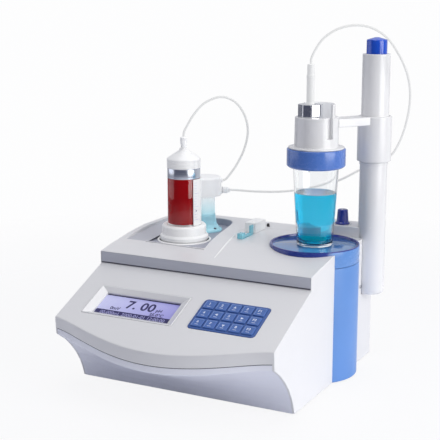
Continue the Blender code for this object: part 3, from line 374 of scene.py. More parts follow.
def inset(outline, by):
    """Moves every point of a closed outline inwards."""
    area = sum(p[0] * q[1] - q[0] * p[1] for p, q in zip(outline, outline[1:] + outline[:1]))
    side = 1.0 if area > 0 else -1.0
    out = []
    for i, p in enumerate(outline):
        a, c = outline[i - 1], outline[(i + 1) % len(outline)]
        e0 = Vector((p[0] - a[0], p[1] - a[1]))
        e1 = Vector((c[0] - p[0], c[1] - p[1]))
        n0 = Vector((-e0.y, e0.x)).normalized() if e0.length > 1e-9 else Vector((0, 0))
        n1 = Vector((-e1.y, e1.x)).normalized() if e1.length > 1e-9 else Vector((0, 0))
        n = n0 + n1
        n = n / max(0.6, n.length_squared / 2) if n.length > 1e-9 else n0
        out.append((p[0] + n.x * by * side, p[1] + n.y * by * side))
    return out


def drawn_in(corners, by):
    """Closed outline of (x, y, radius) corners moved inwards, with the radii changed to match."""
    if by <= 0:
        return corners
    moved = inset([p[:2] for p in corners], by)
    area = sum(p[0] * q[1] - q[0] * p[1] for p, q in zip(corners, corners[1:] + corners[:1]))
    out = []
    for i, p in enumerate(corners):
        a, c = corners[i - 1], corners[(i + 1) % len(corners)]
        turn = (p[0] - a[0]) * (c[1] - p[1]) - (p[1] - a[1]) * (c[0] - p[0])
        outward = turn * area > 0
        out.append((*moved[i], max(0.00002, p[2] - by) if outward else p[2] + by))
    return out


def lathe(profile, centre=(0, 0), steps=96, start=0.0, wave=None):
    """Turns a closed (radius, z) outline. wave(angle, radius, z) may change the radius."""
    bm = bmesh.new()
    rings = []
    for r, z in profile:
        if r < 1e-7:
            rings.append([bm.verts.new((centre[0], centre[1], z))])
        else:
            ring = []
            for i in range(steps):
                a = start + 2 * math.pi * i / steps
                rr = wave(a, r, z) if wave else r
                ring.append(bm.verts.new((centre[0] + rr * math.cos(a), centre[1] + rr * math.sin(a), z)))
            rings.append(ring)
    for k, a in enumerate(rings):
        b = rings[(k + 1) % len(rings)]
        if len(a) == 1 and len(b) == 1:
            continue
        for i in range(steps):
            j = (i + 1) % steps
            if len(a) == 1:
                bm.faces.new((a[0], b[j], b[i]))
            elif len(b) == 1:
                bm.faces.new((a[i], a[j], b[0]))
            else:
                bm.faces.new((a[i], a[j], b[j], b[i]))
    return bm


def turned(profile, radius=0.0005, steps=4):
    """(radius, z, optional corner radius) points to a profile with small rounded corners."""
    pts = [(p[0], p[1], (p[2] if len(p) > 2 else radius) if p[0] > 1e-7 else 0.0) for p in profile]
    return soften(pts, steps=steps)


def close(bm, ring, outline):
    """Fills a planar ring with well-shaped triangles."""
    flat_points = [Vector(p) for p in outline]
    rim = [(i, (i + 1) % len(ring)) for i in range(len(ring))]
    _, _, faces, origin, _, _ = delaunay_2d_cdt(flat_points, rim, [], 1, 1e-9)
    for face in faces:
        picked = [ring[origin[i][0]] for i in face]
        if len(set(picked)) == 3:
            bm.faces.new(picked)


def stack(loops, to_point):
    """Closed body through loops of equal length: each is (outline, level)."""
    bm = bmesh.new()
    rings = [[bm.verts.new(to_point(a, b, level)) for a, b in outline] for outline, level in loops]
    for p, q in zip(rings, rings[1:]):
        for i in range(len(p)):
            j = (i + 1) % len(p)
            bm.faces.new((p[i], p[j], q[j], q[i]))
    close(bm, rings[0], loops[0][0])
    close(bm, rings[-1], loops[-1][0])
    return bm


def hoop(loops, to_point):
    """Closed ring through loops of equal length, the last joined to the first."""
    bm = bmesh.new()
    rings = [[bm.verts.new(to_point(a, b, level)) for a, b in outline] for outline, level in loops]
    for k, p in enumerate(rings):
        q = rings[(k + 1) % len(rings)]
        for i in range(len(p)):
            j = (i + 1) % len(p)
            bm.faces.new((p[i], p[j], q[j], q[i]))
    return bm


def flat(a, b, level):
    return Vector((a, b, level))


def at_panel(x, s, n=0.0):
    return Vector((x, LIP_Y, LIP_Z)) + SLOPE * s + NORMAL * n


def in_plane(at, u, v):
    w = u.cross(v)
    return lambda a, b, level: at + u * a + v * b + w * level


def prism(outline, low, high, to_point=flat, edge=0.0, steps=2, both=True):
    """Extruded outline; edge rounds the rim at the high end, and at the low end too if both."""
    loops = []
    if edge > 0 and both:
        for k in range(steps + 1):
            a = math.pi / 2 * k / steps
            loops.append((inset(outline, edge * (1 - math.sin(a))), low + edge * (1 - math.cos(a))))
    else:
        loops.append((outline, low))
    if edge > 0:
        for k in range(steps + 1):
            a = math.pi / 2 * k / steps
            loops.append((inset(outline, edge * (1 - math.cos(a))), high - edge * (1 - math.sin(a))))
    else:
        loops.append((outline, high))
    return stack(loops, to_point)


def rounded(cx, cy, w, h, r, steps=5):
    pts = []
    for k, (sx, sy) in enumerate(((1, -1), (1, 1), (-1, 1), (-1, -1))):
        ox, oy = cx + sx * (w / 2 - r), cy + sy * (h / 2 - r)
        for i in range(steps + 1):
            a = math.radians(-90 + 90 * k + 90 * i / steps)
            pts.append((ox + r * math.cos(a), oy + r * math.sin(a)))
    return pts


def circle(cx, cy, r, steps=32, start=0.0):
    return [(cx + r * math.cos(start + 2 * math.pi * i / steps), cy + r * math.sin(start + 2 * math.pi * i / steps))
            for i in range(steps)]


def block(low, high, edge=0.0006, steps=2):
    """A box with rounded edges and corners."""
    w, h, cx, cy = high[0] - low[0], high[1] - low[1], (low[0] + high[0]) / 2, (low[1] + high[1]) / 2
    edge = min(edge, w * 0.4, h * 0.4, (high[2] - low[2]) * 0.4)
    loops = []
    for end, sign in ((low[2], 1), (high[2], -1)):
        part = []
        for k in range(steps + 1):
            a = math.pi / 2 * k / steps
            d = edge * (1 - math.sin(a))
            part.append((rounded(cx, cy, w - 2 * d, h - 2 * d, edge * 1.15 - d, 3), end + sign * edge * (1 - math.cos(a))))
        loops += part if sign > 0 else part[::-1]
    return stack(loops, flat)


def merged(*parts):
    """Several closed bodies in one mesh."""
    out = parts[0]
    for bm in parts[1:]:
        tmp = bpy.data.meshes.new("tmp")
        bm.to_mesh(tmp)
        bm.free()
        out.from_mesh(tmp)
        bpy.data.meshes.remove(tmp)
    return out


def loose(name, bm):
    bmesh.ops.remove_doubles(bm, verts=bm.verts, dist=2e-7)
    bmesh.ops.recalc_face_normals(bm, faces=bm.faces)
    mesh = bpy.data.meshes.new(name)
    bm.to_mesh(mesh)
    bm.free()
    obj = bpy.data.objects.new(name, mesh)
    bpy.context.scene.collection.objects.link(obj)
    return obj


def carve(bm, *steps):
    """Boolean steps ("cut" or "join", bmesh) applied in turn; gives the finished bmesh."""
    body = loose("carved", bm)
    tools = []
    for kind, other in steps:
        tool = loose("tool", other)
        tools.append(tool)
        mod = body.modifiers.new("step", "BOOLEAN")
        mod.operation = "DIFFERENCE" if kind == "cut" else "UNION"
        mod.solver = "EXACT"
        mod.object = tool
    graph = bpy.context.evaluated_depsgraph_get()
    mesh = bpy.data.meshes.new_from_object(body.evaluated_get(graph))
    out = bmesh.new()
    out.from_mesh(mesh)
    bpy.data.meshes.remove(mesh)
    for obj in [body] + tools:
        data = obj.data
        bpy.data.objects.remove(obj)
        bpy.data.meshes.remove(data)
    bmesh.ops.remove_doubles(out, verts=out.verts, dist=1e-6)
    bmesh.ops.dissolve_degenerate(out, edges=out.edges, dist=1e-6)
    return out


def piece(name, bm, mat, body, replaces=(), angle=32, weighted=False, extra=(), joined=()):
    """Bench-frame bmesh to a finished, riding piece. joined adds (bmesh, material) islands to the same mesh."""
    bmesh.ops.recalc_face_normals(bm, faces=bm.faces)
    mats = [M[mat]]
    for more, key in joined:
        bmesh.ops.recalc_face_normals(more, faces=more.faces)
        if M[key] not in mats:
            mats.append(M[key])
        for f in more.faces:
            f.material_index = mats.index(M[key])
        tmp = bpy.data.meshes.new("tmp")
        more.to_mesh(tmp)
        more.free()
        bm.from_mesh(tmp)
        bpy.data.meshes.remove(tmp)
    bmesh.ops.translate(bm, verts=bm.verts, vec=SHIFT)
    mesh = bpy.data.meshes.new(name)
    bm.to_mesh(mesh)
    bm.free()
    mesh.shade_smooth()
    mesh.set_sharp_from_angle(angle=math.radians(angle))
    for m in mats:
        mesh.materials.append(m)
    obj = bpy.data.objects.new(name, mesh)
    bpy.context.scene.collection.objects.link(obj)
    if weighted:
        mod = obj.modifiers.new("normals", "WEIGHTED_NORMAL")
        mod.keep_sharp = True
        mod.weight = 100
    if replaces:
        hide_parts(*replaces)
    if body:
        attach(obj, body)
    return obj


def text(string, size, depth, to_point, resolution=3, shear=0.0, bold=0.0):
    """Raised lettering: closed thin bodies of a plain built-in face."""
    curve = bpy.data.curves.new("lettering", "FONT")
    curve.body = string
    curve.size = size
    curve.extrude = depth / 2
    curve.offset = bold
    curve.shear = shear
    curve.resolution_u = resolution
    curve.align_x, curve.align_y = "CENTER", "CENTER"
    obj = bpy.data.objects.new("lettering", curve)
    bpy.context.scene.collection.objects.link(obj)
    graph = bpy.context.evaluated_depsgraph_get()
    mesh = bpy.data.meshes.new_from_object(obj.evaluated_get(graph))
    bm = bmesh.new()
    bm.from_mesh(mesh)
    bpy.data.objects.remove(obj)
    bpy.data.curves.remove(curve)
    bpy.data.meshes.remove(mesh)
    bmesh.ops.remove_doubles(bm, verts=bm.verts, dist=1e-6)
    for v in bm.verts:
        v.co = to_point(v.co.x, v.co.y, v.co.z + depth / 2)
    return bm


def screw_head(at, axis, radius, height, slot_width=None):
    """Cheese-head screw with a cross recess, standing on the surface at a point."""
    w = Vector(axis).normalized()
    u = w.orthogonal().normalized()
    v = w.cross(u)
    head = lathe(turned([(0, -0.0002), (radius, -0.0002), (radius, height), (0, height)], radius * 0.22, 3), steps=32)
    half = slot_width or radius * 0.16
    arm = radius * 0.72
    cross = [block((-arm, -half, height * 0.45), (arm, half, height * 2), 0.00002, 1),
             block((-half, -arm, height * 0.45), (half, arm, height * 2), 0.00002, 1)]
    out = carve(head, ("cut", cross[0]), ("cut", cross[1]))
    for vert in out.verts:
        x, y, z = vert.co
        vert.co = Vector(at) + u * x + v * y + w * z
    return out


# ---------------------------------------------------------------- body shells
def swell(x, most):
    u = min(1.0, abs(x) / HALF_W)
    return most * (1 - u * u) ** 1.45


def swollen(x, y, z, most):
    b = swell(x, most)
    return (y - b * SLOPE.y, z - b * SLOPE.z)


def back_y(x, by=0.0):
    left = -HALF_W + CORNER_X
    if x >= left:
        return BACK_Y - by
    u = min(1.0, (left - x) / (CORNER_X - by))
    return BACK_Y - CORNER_Y + (CORNER_Y - by) * math.sqrt(max(0.0, 1 - u * u))


FRONT = [(-0.0666, 0.0924, SEAM_BULGE, 0.0008), (-0.0657, 0.0835, STRIP_BULGE, 0.0022),
         (-0.0460, 0.0700, 0.036, 0.016), (-0.0325, 0.0575, 0.027, 0.020), (-0.0195, 0.0425, 0.017, 0.022),
         (-0.0095, 0.0270, 0.008, 0.022), (-0.0035, 0.0130, 0.002, 0.020), (0.0, 0.0020, 0.0, 0.0016)]
DECK = [(0.0505, BAND_Z, 0.0016), (0.078, 0.1842, 0.040), (0.106, 0.1882, 0.040), (0.129, 0.1917, 0.030),
        (0.149, 0.1938, 0.030), (0.178, DECK_Z, 0.020)]


def deck_z(x, y):
    """Height of the deck's surface."""
    pts = [(p[0], p[1]) for p in DECK] + [(0.40, DECK_Z)]
    z = pts[0][1]
    for (y0, z0), (y1, z1) in zip(pts, pts[1:]):
        if y0 <= y <= y1:
            z = z0 + (z1 - z0) * (y - y0) / (y1 - y0)
    if x < -0.1215 and 0.1035 < y < 0.2450:
        z = min(z, 0.1862 + (y - 0.1035) * (0.1960 - 0.1862) / (0.2450 - 0.1035))
    return z


def front_corners(x):
    return [(*swollen(x, y, z, b), r) for y, z, b, r in FRONT]


def outer_section(x, by=0.0):
    corners = front_corners(x)[::-1]
    corners.append((*swollen(x, LIP_Y, LIP_Z, LIP_BULGE), 0.0024))
    corners.append((PANEL_TOP_Y, PANEL_TOP_Z, 0.0008))
    corners += DECK
    corners += [(back_y(x), DECK_Z, 0.0035), (back_y(x), 0.0020, 0.0016)]
    return soften(drawn_in(corners, by), steps=5)


def inner_section(x):
    back = back_y(x, WALL)
    side = [(y + 0.0034, z - 0.0012 if z > 0.01 else -0.01)
            for y, z in (swollen(x, y, z, b) for y, z, b, r in FRONT[::-1])]
    y, z = swollen(x, LIP_Y, LIP_Z, LIP_BULGE)
    top = [(y + 0.0034, z - 0.0028), (PANEL_TOP_Y + 0.0022, PANEL_TOP_Z - 0.0028), (0.0538, BAND_Z - 0.003),
           (0.078, 0.1800), (0.106, 0.1822), (0.129, 0.1838), (0.149, 0.1852), (0.178, 0.1875)]
    return side + top + [(back, 0.1875), (back, -0.01)]


def loft(sections):
    """Closed body through (x, outline) sections of (y, z) points."""
    bm = bmesh.new()
    rings = [[bm.verts.new((x, y, z)) for y, z in outline] for x, outline in sections]
    for a, b in zip(rings, rings[1:]):
        for i in range(len(a)):
            j = (i + 1) % len(a)
            bm.faces.new((a[i], a[j], b[j], b[i]))
    close(bm, rings[0], sections[0][1])
    close(bm, rings[-1], sections[-1][1])
    return bm


def stations(half, fine=True):
    left = [-half + CORNER_X * (1 - math.cos(math.radians(a))) for a in range(0, 91, 6 if fine else 15)]
    step = 0.0085 if fine else 0.02
    rest, x = [], -half + CORNER_X + step
    while x < half - 0.004:
        rest.append(x)
        x += step
    return sorted(set(round(v, 5) for v in left + rest + [half]))


def rounded_ends(half, section, edge=0.0012, steps=3):
    """Sections from one end to the other with the two end rims rounded."""
    out = []
    for k in range(steps):
        a = math.pi / 2 * k / steps
        out.append((-half + edge * (1 - math.cos(a)) if k else -half, section(-half + edge * (1 - math.cos(a)), edge * (1 - math.sin(a)))))
    for x in stations(half):
        if -half + edge * 0.999 < x < half - edge * 0.999:
            out.append((x, section(x, 0.0)))
    for k in range(steps - 1, -1, -1):
        a = math.pi / 2 * k / steps
        out.append((half - edge * (1 - math.cos(a)) if k else half, section(half - edge * (1 - math.cos(a)), edge * (1 - math.sin(a)))))
    out = sorted(out, key=lambda p: p[0])
    return out


def front_curve(x):
    return [swollen(x, y, z, b) for y, z, b, r in FRONT]


def front_wall(x):
    curve = front_curve(x)
    outer = [(y - 0.012, z - 0.004) for y, z in curve]
    inner = [(y + 0.006, z - 0.0005) for y, z in curve]
    outer[0], inner[0] = (outer[0][0], curve[0][1]), (inner[0][0], curve[0][1])
    outer[-1], inner[-1] = (outer[-1][0], -0.005), (inner[-1][0], -0.005)
    return outer + inner[::-1]


FRONT_HALF = HALF_W - WALL - GAP
BAY = [(-0.1215, 0.1040), (-0.0220, 0.1000), (-0.0280, 0.1300), (-0.0360, 0.1860), (-0.0470, 0.2380),
       (-0.0520, 0.2530), (-0.0610, 0.2650), (-0.0750, 0.2710), (-0.0930, 0.2700), (-0.1120, 0.2620),
       (-0.1270, 0.2470), (-0.1350, 0.2240), (-0.1370, 0.1900), (-0.1340, 0.1500), (-0.1290, 0.1180)]
BAY_SOFT = soften([(x, y, 0.004 if i < 2 else 0.02) for i, (x, y) in enumerate(BAY)], steps=4)


def dense(outline, longest):
    out = []
    for p, q in zip(outline, outline[1:] + outline[:1]):
        n = max(1, int(math.ceil(math.dist(p, q) / longest)))
        out += [(p[0] + (q[0] - p[0]) * k / n, p[1] + (q[1] - p[1]) * k / n) for k in range(n)]
    return out


def lipped_well(outline, floor, lip):
    """Cutter with a straight wall and a rounded lip that follows the deck's height."""
    outline = dense(outline, 0.006)
    bm = bmesh.new()
    rings = [[bm.verts.new((x, y, floor)) for x, y in outline]]
    for k in range(4):
        a = math.pi / 2 * k / 3
        grown = inset(outline, -lip * (1 - math.cos(a)))
        rings.append([bm.verts.new((gx, gy, deck_z(x, y) - lip + lip * math.sin(a) + (0.0002 if k == 3 else 0)))
                      for (x, y), (gx, gy) in zip(outline, grown)])
    grown = inset(outline, -lip)
    rings.append([bm.verts.new((gx, gy, 0.22)) for gx, gy in grown])
    for p, q in zip(rings, rings[1:]):
        for i in range(len(p)):
            j = (i + 1) % len(p)
            bm.faces.new((p[i], p[j], q[j], q[i]))
    close(bm, rings[0], outline)
    close(bm, rings[-1], grown)
    return bm


def panel_hole(outline, lip=0.0006):
    loops = [(outline, -0.012)]
    for k in range(4):
        a = math.pi / 2 * k / 3
        loops.append((inset(outline, -lip * (1 - math.cos(a))), -lip + lip * math.sin(a) + (0.0001 if k == 3 else 0)))
    loops.append((inset(outline, -lip), 0.01))
    return stack(loops, at_panel)


def grown_bay(by):
    cx = sum(p[0] for p in BAY) / len(BAY)
    cy = sum(p[1] for p in BAY) / len(BAY)
    return [(x + (x - cx) / math.hypot(x - cx, y - cy) * by, y + (y - cy) / math.hypot(x - cx, y - cy) * by) for x, y in BAY]


LOW_A = [(0.010, 0.075), (-0.012, 0.200), (-0.012, 0.300), (0.180, 0.300), (0.180, 0.075)]


def low_deck():
    """Lower right deck with a slanted, soft step."""
    loops = []
    for d, z in ((0.0, DECK_Z_RIGHT), (0.0003, DECK_Z_RIGHT + 0.0003), (0.0030, DECK_Z + 0.0002), (0.0036, DECK_Z + 0.0006),
                 (0.0036, 0.215)):
        loops.append(([(0.010 - d, 0.075), (-0.012 - d, 0.200), (-0.012 - d, 0.300), (0.180, 0.300), (0.180, 0.075)], z))
    return stack(loops, flat)


DISH = [(0.1035, 0.1862), (0.2450, 0.1960), (0.2450, 0.2200), (0.1035, 0.2200)]
housing = carve(
    loft(rounded_ends(HALF_W, outer_section)),
    ("cut", loft([(x, inner_section(x)) for x in stations(HALF_W - WALL, False)])),
    ("cut", loft([(x, front_wall(x)) for x in stations(FRONT_HALF + GAP)])),
    ("cut", low_deck()),
    ("join", block((0.085, 0.2480, DECK_Z_RIGHT - 0.0025), (HALF_W - 0.0002, BACK_Y - 0.0002, LEDGE_Z), 0.0014, 3)),
    ("cut", block((0.0885, 0.2510, 0.150), (HALF_W - WALL, BACK_Y - WALL, LEDGE_Z - 0.003), 0.0003, 1)),
    ("join", block((-0.0060, 0.2035, DECK_Z_RIGHT - 0.0025), (0.0118, 0.2400, LEDGE_Z), 0.0010, 3)),
    ("join", prism(grown_bay(0.003), BAY_FLOOR - 0.003, 0.1885)),
    ("cut", prism(DISH, -0.1600, -0.1215, in_plane(Vector((0, 0, 0)), Y, Z))),
    ("cut", lipped_well(BAY_SOFT, BAY_FLOOR, 0.0010)),
    ("cut", lathe([(0, 0.17), (0.0090, 0.17), (0.0090, 0.20), (0, 0.20)], (BUR_X, BUR_Y), 32)),
    ("cut", lathe([(0, -0.01), (STIR_R + 0.0006, -0.01), (STIR_R + 0.0006, 0.24), (0, 0.24)], (STIR_X, STIR_Y), 128)),
    ("cut", lathe([(0, COL_BOTTOM - GAP), (COL_R + 0.0006, COL_BOTTOM - GAP), (COL_R + 0.0006, 0.24), (0, 0.24)],
                  (COL_X, COL_Y), 64)),
    ("cut", lathe([(0, 0.19), (0.0036, 0.19), (0.0036, 0.23), (0, 0.23)], (KNOB_X, KNOB_Y), 24)),
    ("cut", panel_hole(rounded(LCD_X, LCD_S, LCD_W + 2 * GAP, LCD_H + 2 * GAP, 0.0009, 3))),
    ("cut", panel_hole(rounded(KEYPAD_X, KEYPAD_S, KEYPAD_W + 2 * GAP, KEYPAD_H + 2 * GAP, 0.006, 6))),
    ("cut", block((-0.085, BACK_Y - 0.010, 0.030), (0.085, BACK_Y + 0.010, 0.130), 0.0003, 1)),
    ("cut", block((-HALF_W + 0.0012, 0.040, PANEL_TOP_Z + 0.0012), (HALF_W - 0.0012, 0.0524, BAND_Z - 0.0004), 0.0001, 1)),
    ("cut", block((0.0165, 0.2472, DECK_Z_RIGHT - 0.0005), (0.0850, 0.2480, DECK_Z_RIGHT + 0.003), 0.0001, 1)),
)
liner_out, liner_in = inset(BAY_SOFT, 0.00015), inset(BAY_SOFT, 0.0009)
liner_hole = dense(liner_out, 0.006)


def bay_shade_liner():
    """Thin grey lining, painted shade that darkens the bay: a floor and a wall that stops just under the deck's rounded
    lip.
    """
    bm = bmesh.new()
    inner = inset(liner_hole, 0.0007)
    rings = []
    for outline, level in ((liner_hole, BAY_FLOOR + 0.00004), (liner_hole, None), (inner, None), (inner, BAY_FLOOR + 0.0002)):
        rings.append([bm.verts.new((x, y, level if level is not None else max(BAY_FLOOR + 0.0006, deck_z(*liner_hole[i]) - 0.0012)))
                      for i, (x, y) in enumerate(outline)])
    for p, q in zip(rings, rings[1:]):
        for i in range(len(p)):
            j = (i + 1) % len(p)
            bm.faces.new((p[i], p[j], q[j], q[i]))
    close(bm, rings[0], liner_hole)
    close(bm, rings[-1], inner)
    return bm


def deck_highlight_line():
    """Narrow raised line where the stirrer side of the deck begins, in glowing white: a painted highlight of the lit
    edge of the step.
    """
    bm = bmesh.new()
    rings = []
    for k in range(25):
        t = k / 24
        y = 0.0735 + (0.1700 - 0.0735) * t
        x = 0.0092 - 0.022 * (y - 0.075) / 0.125
        z = min(deck_z(x, y), DECK_Z_RIGHT + 0.0006) - 0.0002
        half = 0.0011 * math.sin(math.pi * (0.06 + 0.90 * t)) ** 0.4
        rings.append([bm.verts.new(p) for p in ((x - half, y, z), (x + half * 1.2, y, z), (x + half * 0.5, y, z + 0.0006), (x - half * 0.3, y, z + 0.0006))])
    for p, q in zip(rings, rings[1:]):
        for i in range(4):
            j = (i + 1) % 4
            bm.faces.new((p[i], p[j], q[j], q[i]))
    bm.faces.new(rings[0])
    bm.faces.new(rings[-1])
    return bm


piece("deck_highlight_line", deck_highlight_line(), "white_glow", "base")
piece("bay_shade_lining", bay_shade_liner(), "bay_shade_grey", "base")
# Grey sheet on the sunken area left of the bay: painted shade that darkens it.
dish_shade_plate = prism([(0.1040, 0.18626), (0.2446, 0.19598), (0.2446, 0.1961), (0.1040, 0.18642)], -0.1597, -0.1221,
                   in_plane(Vector((0, 0, 0)), Y, Z))
piece("dish_shade_lining", dish_shade_plate, "dish_shade_grey", "base")
piece("housing_shell", housing, "white_body", "base", ("main_housing",), angle=28, weighted=True)


def lower_section(x, by=0.0):
    corners = front_corners(x)
    y0, z0, _ = corners[0]
    curve = soften([(y0 + 0.0004, z0 - 0.0012, 0)] + corners[1:-1] + [(*corners[-1][:2], 0)], closed=False, steps=5)
    inner = [(y + 0.0030, z - 0.0008) for y, z in curve]
    inner[0] = (curve[0][0] + 0.0030, curve[0][1])
    inner[-1] = (curve[-1][0] + 0.0030, curve[-1][1])
    return curve + inner[::-1]


piece("lower_front_shell", loft([(x, lower_section(x)) for x in stations(FRONT_HALF)]), "front_shade_tint", "base",
      ("lower_front_panel",), angle=30, weighted=True)


def seam_section(x, by=0.0):
    y, z = swollen(x, -0.0666, 0.0924, SEAM_BULGE)
    return [(y + 0.0011, z - 0.0016), (y + 0.0011, z - 0.0001), (y + 0.0030, z - 0.0001), (y + 0.0030, z - 0.0016)]


# Dark strip in the seam under the lip: painted shadow in the gap.
piece("seam_shadow_strip", loft([(x, seam_section(x)) for x in stations(FRONT_HALF - 0.0004)]), "shadow_and_screw_dark", "base")

# Band between panel and deck, darkened to lilac grey as painted shade, with a dark strip under it as painted shadow in
# the joint.
piece("fascia_strip", block((-HALF_W + 0.0015, 0.0509, PANEL_TOP_Z + 0.0034), (HALF_W - 0.0015, 0.0521, BAND_Z - 0.0007),
                            0.0003, 2), "lilac_band", "base", ("fascia_band",))
piece("fascia_shadow_strip", block((-HALF_W + 0.0016, 0.0512, PANEL_TOP_Z + 0.0014), (HALF_W - 0.0016, 0.0521, PANEL_TOP_Z + 0.0033),
                            0.0002, 1), "shadow_and_screw_dark", "base")

# ---------------------------------------------------------------- display
bezel_loops = []
for d, n, r in ((0.0000, -0.0075, 0.0008), (0.0000, -0.0002, 0.0008), (0.0002, 0.0002, 0.0008), (0.0006, 0.0004, 0.0008),
                (0.0015, 0.0004, 0.0008), (0.0019, 0.0003, 0.0007), (0.0022, 0.0000, 0.0006),
                (0.0120, -0.0046, 0.0004), (0.0123, -0.0050, 0.0004), (0.0123, -0.0075, 0.0004)):
    dx = d if d < 0.01 else d - 0.0120 + (LCD_W - GLASS_W) / 2
    dy = d if d < 0.01 else d - 0.0120 + (LCD_H - GLASS_H) / 2
    bezel_loops.append((rounded(LCD_X, LCD_S, LCD_W - 2 * dx, LCD_H - 2 * dy, r, 3), n))
piece("bezel_frame", hoop(bezel_loops, at_panel), "white_gloss", "base", ("display_bezel",), angle=24)

FACE_N = -0.0078
module = prism(rounded(LCD_X, LCD_S, GLASS_W + 0.012, GLASS_H + 0.010, 0.0015, 4), -0.0150, FACE_N, at_panel, 0.0003)
piece("display_module", module, "display_glass", "base", ("lcd_module",))


def on_display(x, s):
    """Plane on the display's face with its origin at a panel point."""
    return lambda a, b, level: at_panel(x + a, s + b, FACE_N + 0.00002 + level)


reading = merged(
    text("7.", 0.0232, 0.00008, on_display(LCD_X - 0.0118, LCD_S + 0.0055), bold=0.0005),
    text("00", 0.0232, 0.00008, on_display(LCD_X + 0.0148, LCD_S + 0.0055), bold=0.0005),
    text("pH", 0.0078, 0.00008, on_display(LCD_X + 0.0345, LCD_S + 0.0022), bold=0.0002),
    text("0mV", 0.0085, 0.00008, on_display(LCD_X - 0.0335, LCD_S - 0.0055), bold=0.0002),
    text("25.0°C", 0.0079, 0.00008, on_display(LCD_X + 0.0345, LCD_S - 0.0068), bold=0.0002),
    prism(rounded(0, 0, GLASS_W, 0.0020, 0.0003, 1), 0.0, 0.00008, on_display(LCD_X, LCD_S + GLASS_H / 2 - 0.0010)),
    prism(rounded(0, 0, GLASS_W - 0.001, 0.0112, 0.0003, 1), 0.0, 0.00008, on_display(LCD_X, LCD_S - GLASS_H / 2 + 0.0063)),
)
piece("display_reading", reading, "navy_ink", "base")
status = text("00.000mL 2000-01-01 12:00:00", 0.0086, 0.00006,
              lambda a, b, level: at_panel(LCD_X + a * 0.97, LCD_S - GLASS_H / 2 + 0.0063 + b, FACE_N + 0.00013 + level), bold=0.00005)
piece("display_status", status, "pale_ink", "base")

# ---------------------------------------------------------------- keypad
key_at = {(row, col): (KEYPAD_X + (col - 2) * KEY_PITCH_X, KEYPAD_S + (1 - row) * KEY_PITCH_S)
          for row in range(3) for col in range(5)}
plate = prism(rounded(KEYPAD_X, KEYPAD_S, KEYPAD_W, KEYPAD_H, 0.006, 8), -0.0035, 0.0006, at_panel, 0.0006, 3, both=False)
holes = None
for cx, cs in key_at.values():
    hole = prism(rounded(cx, cs, KEY_SIZE + 2 * GAP, KEY_SIZE + 2 * GAP, 0.0012, 3), -0.01, 0.004, at_panel)
    holes = hole if holes is None else merged(holes, hole)
piece("keypad_frame", carve(plate, ("cut", holes)), "keypad_blue", "base", ("keypad_plate",), angle=30)

LEGENDS = [["1", "2", "up", "3", "F1"], ["4", "left", "5", "right", "F2"], ["6", "7", "down", "8", "F3"]]
for (row, col), (cx, cs) in key_at.items():
    loops = [(rounded(cx, cs, KEY_SIZE, KEY_SIZE, 0.0012, 4), -0.0032)]
    for k in range(5):
        a = math.pi / 2 * k / 4
        d = 0.0008 * (1 - math.cos(a))
        loops.append((rounded(cx, cs, KEY_SIZE - 2 * d, KEY_SIZE - 2 * d, 0.0012, 4), 0.0014 + 0.0008 * math.sin(a)))
    # shallow dished top
    for w, n in ((0.0132, 0.00214), (0.0100, 0.00206), (0.0060, 0.00200), (0.0024, 0.00198)):
        loops.append((rounded(cx, cs, w, w, min(0.0012, w * 0.3), 4), n))
    cap = stack(loops, at_panel)

    def on_key(x, s):
        return lambda a, b, level: at_panel(x + a, s + b, 0.00196 + level)

    mark = LEGENDS[row][col]
    if mark in ("up", "down", "left", "right"):
        turn = {"up": 90, "down": -90, "left": 180, "right": 0}[mark]
        tri = [(0.0027 * math.cos(math.radians(turn + d)) , 0.0027 * math.sin(math.radians(turn + d))) for d in (0, 125, 235)]
        legend = prism(tri, 0.0, 0.00012, on_key(cx, cs + 0.0010))
    else:
        legend = text(mark, 0.0062, 0.00012, on_key(cx - 0.0005, cs + 0.0014), bold=0.00012)
    under = prism(rounded(0, 0, 0.0052, 0.0007, 0.0002, 1), 0.0, 0.00014, on_key(cx, cs - 0.0040))
    # Lighter strips along the left and top edges of each key: painted highlight.
    lit = merged(prism(rounded(-0.0066, 0, 0.0005, 0.0136, 0.0002, 1), 0.0, 0.00026, on_key(cx, cs)),
                 prism(rounded(0, 0.0066, 0.0136, 0.0005, 0.0002, 1), 0.0, 0.00026, on_key(cx, cs)))
    name = f"key_r{row + 1}c{col + 1}"
    piece(f"keycap_r{row + 1}c{col + 1}", cap, "key_blue", name, (name,), angle=38,
          joined=((legend, "legend"), (under, "legend"), (lit, "key_edge_highlight")))

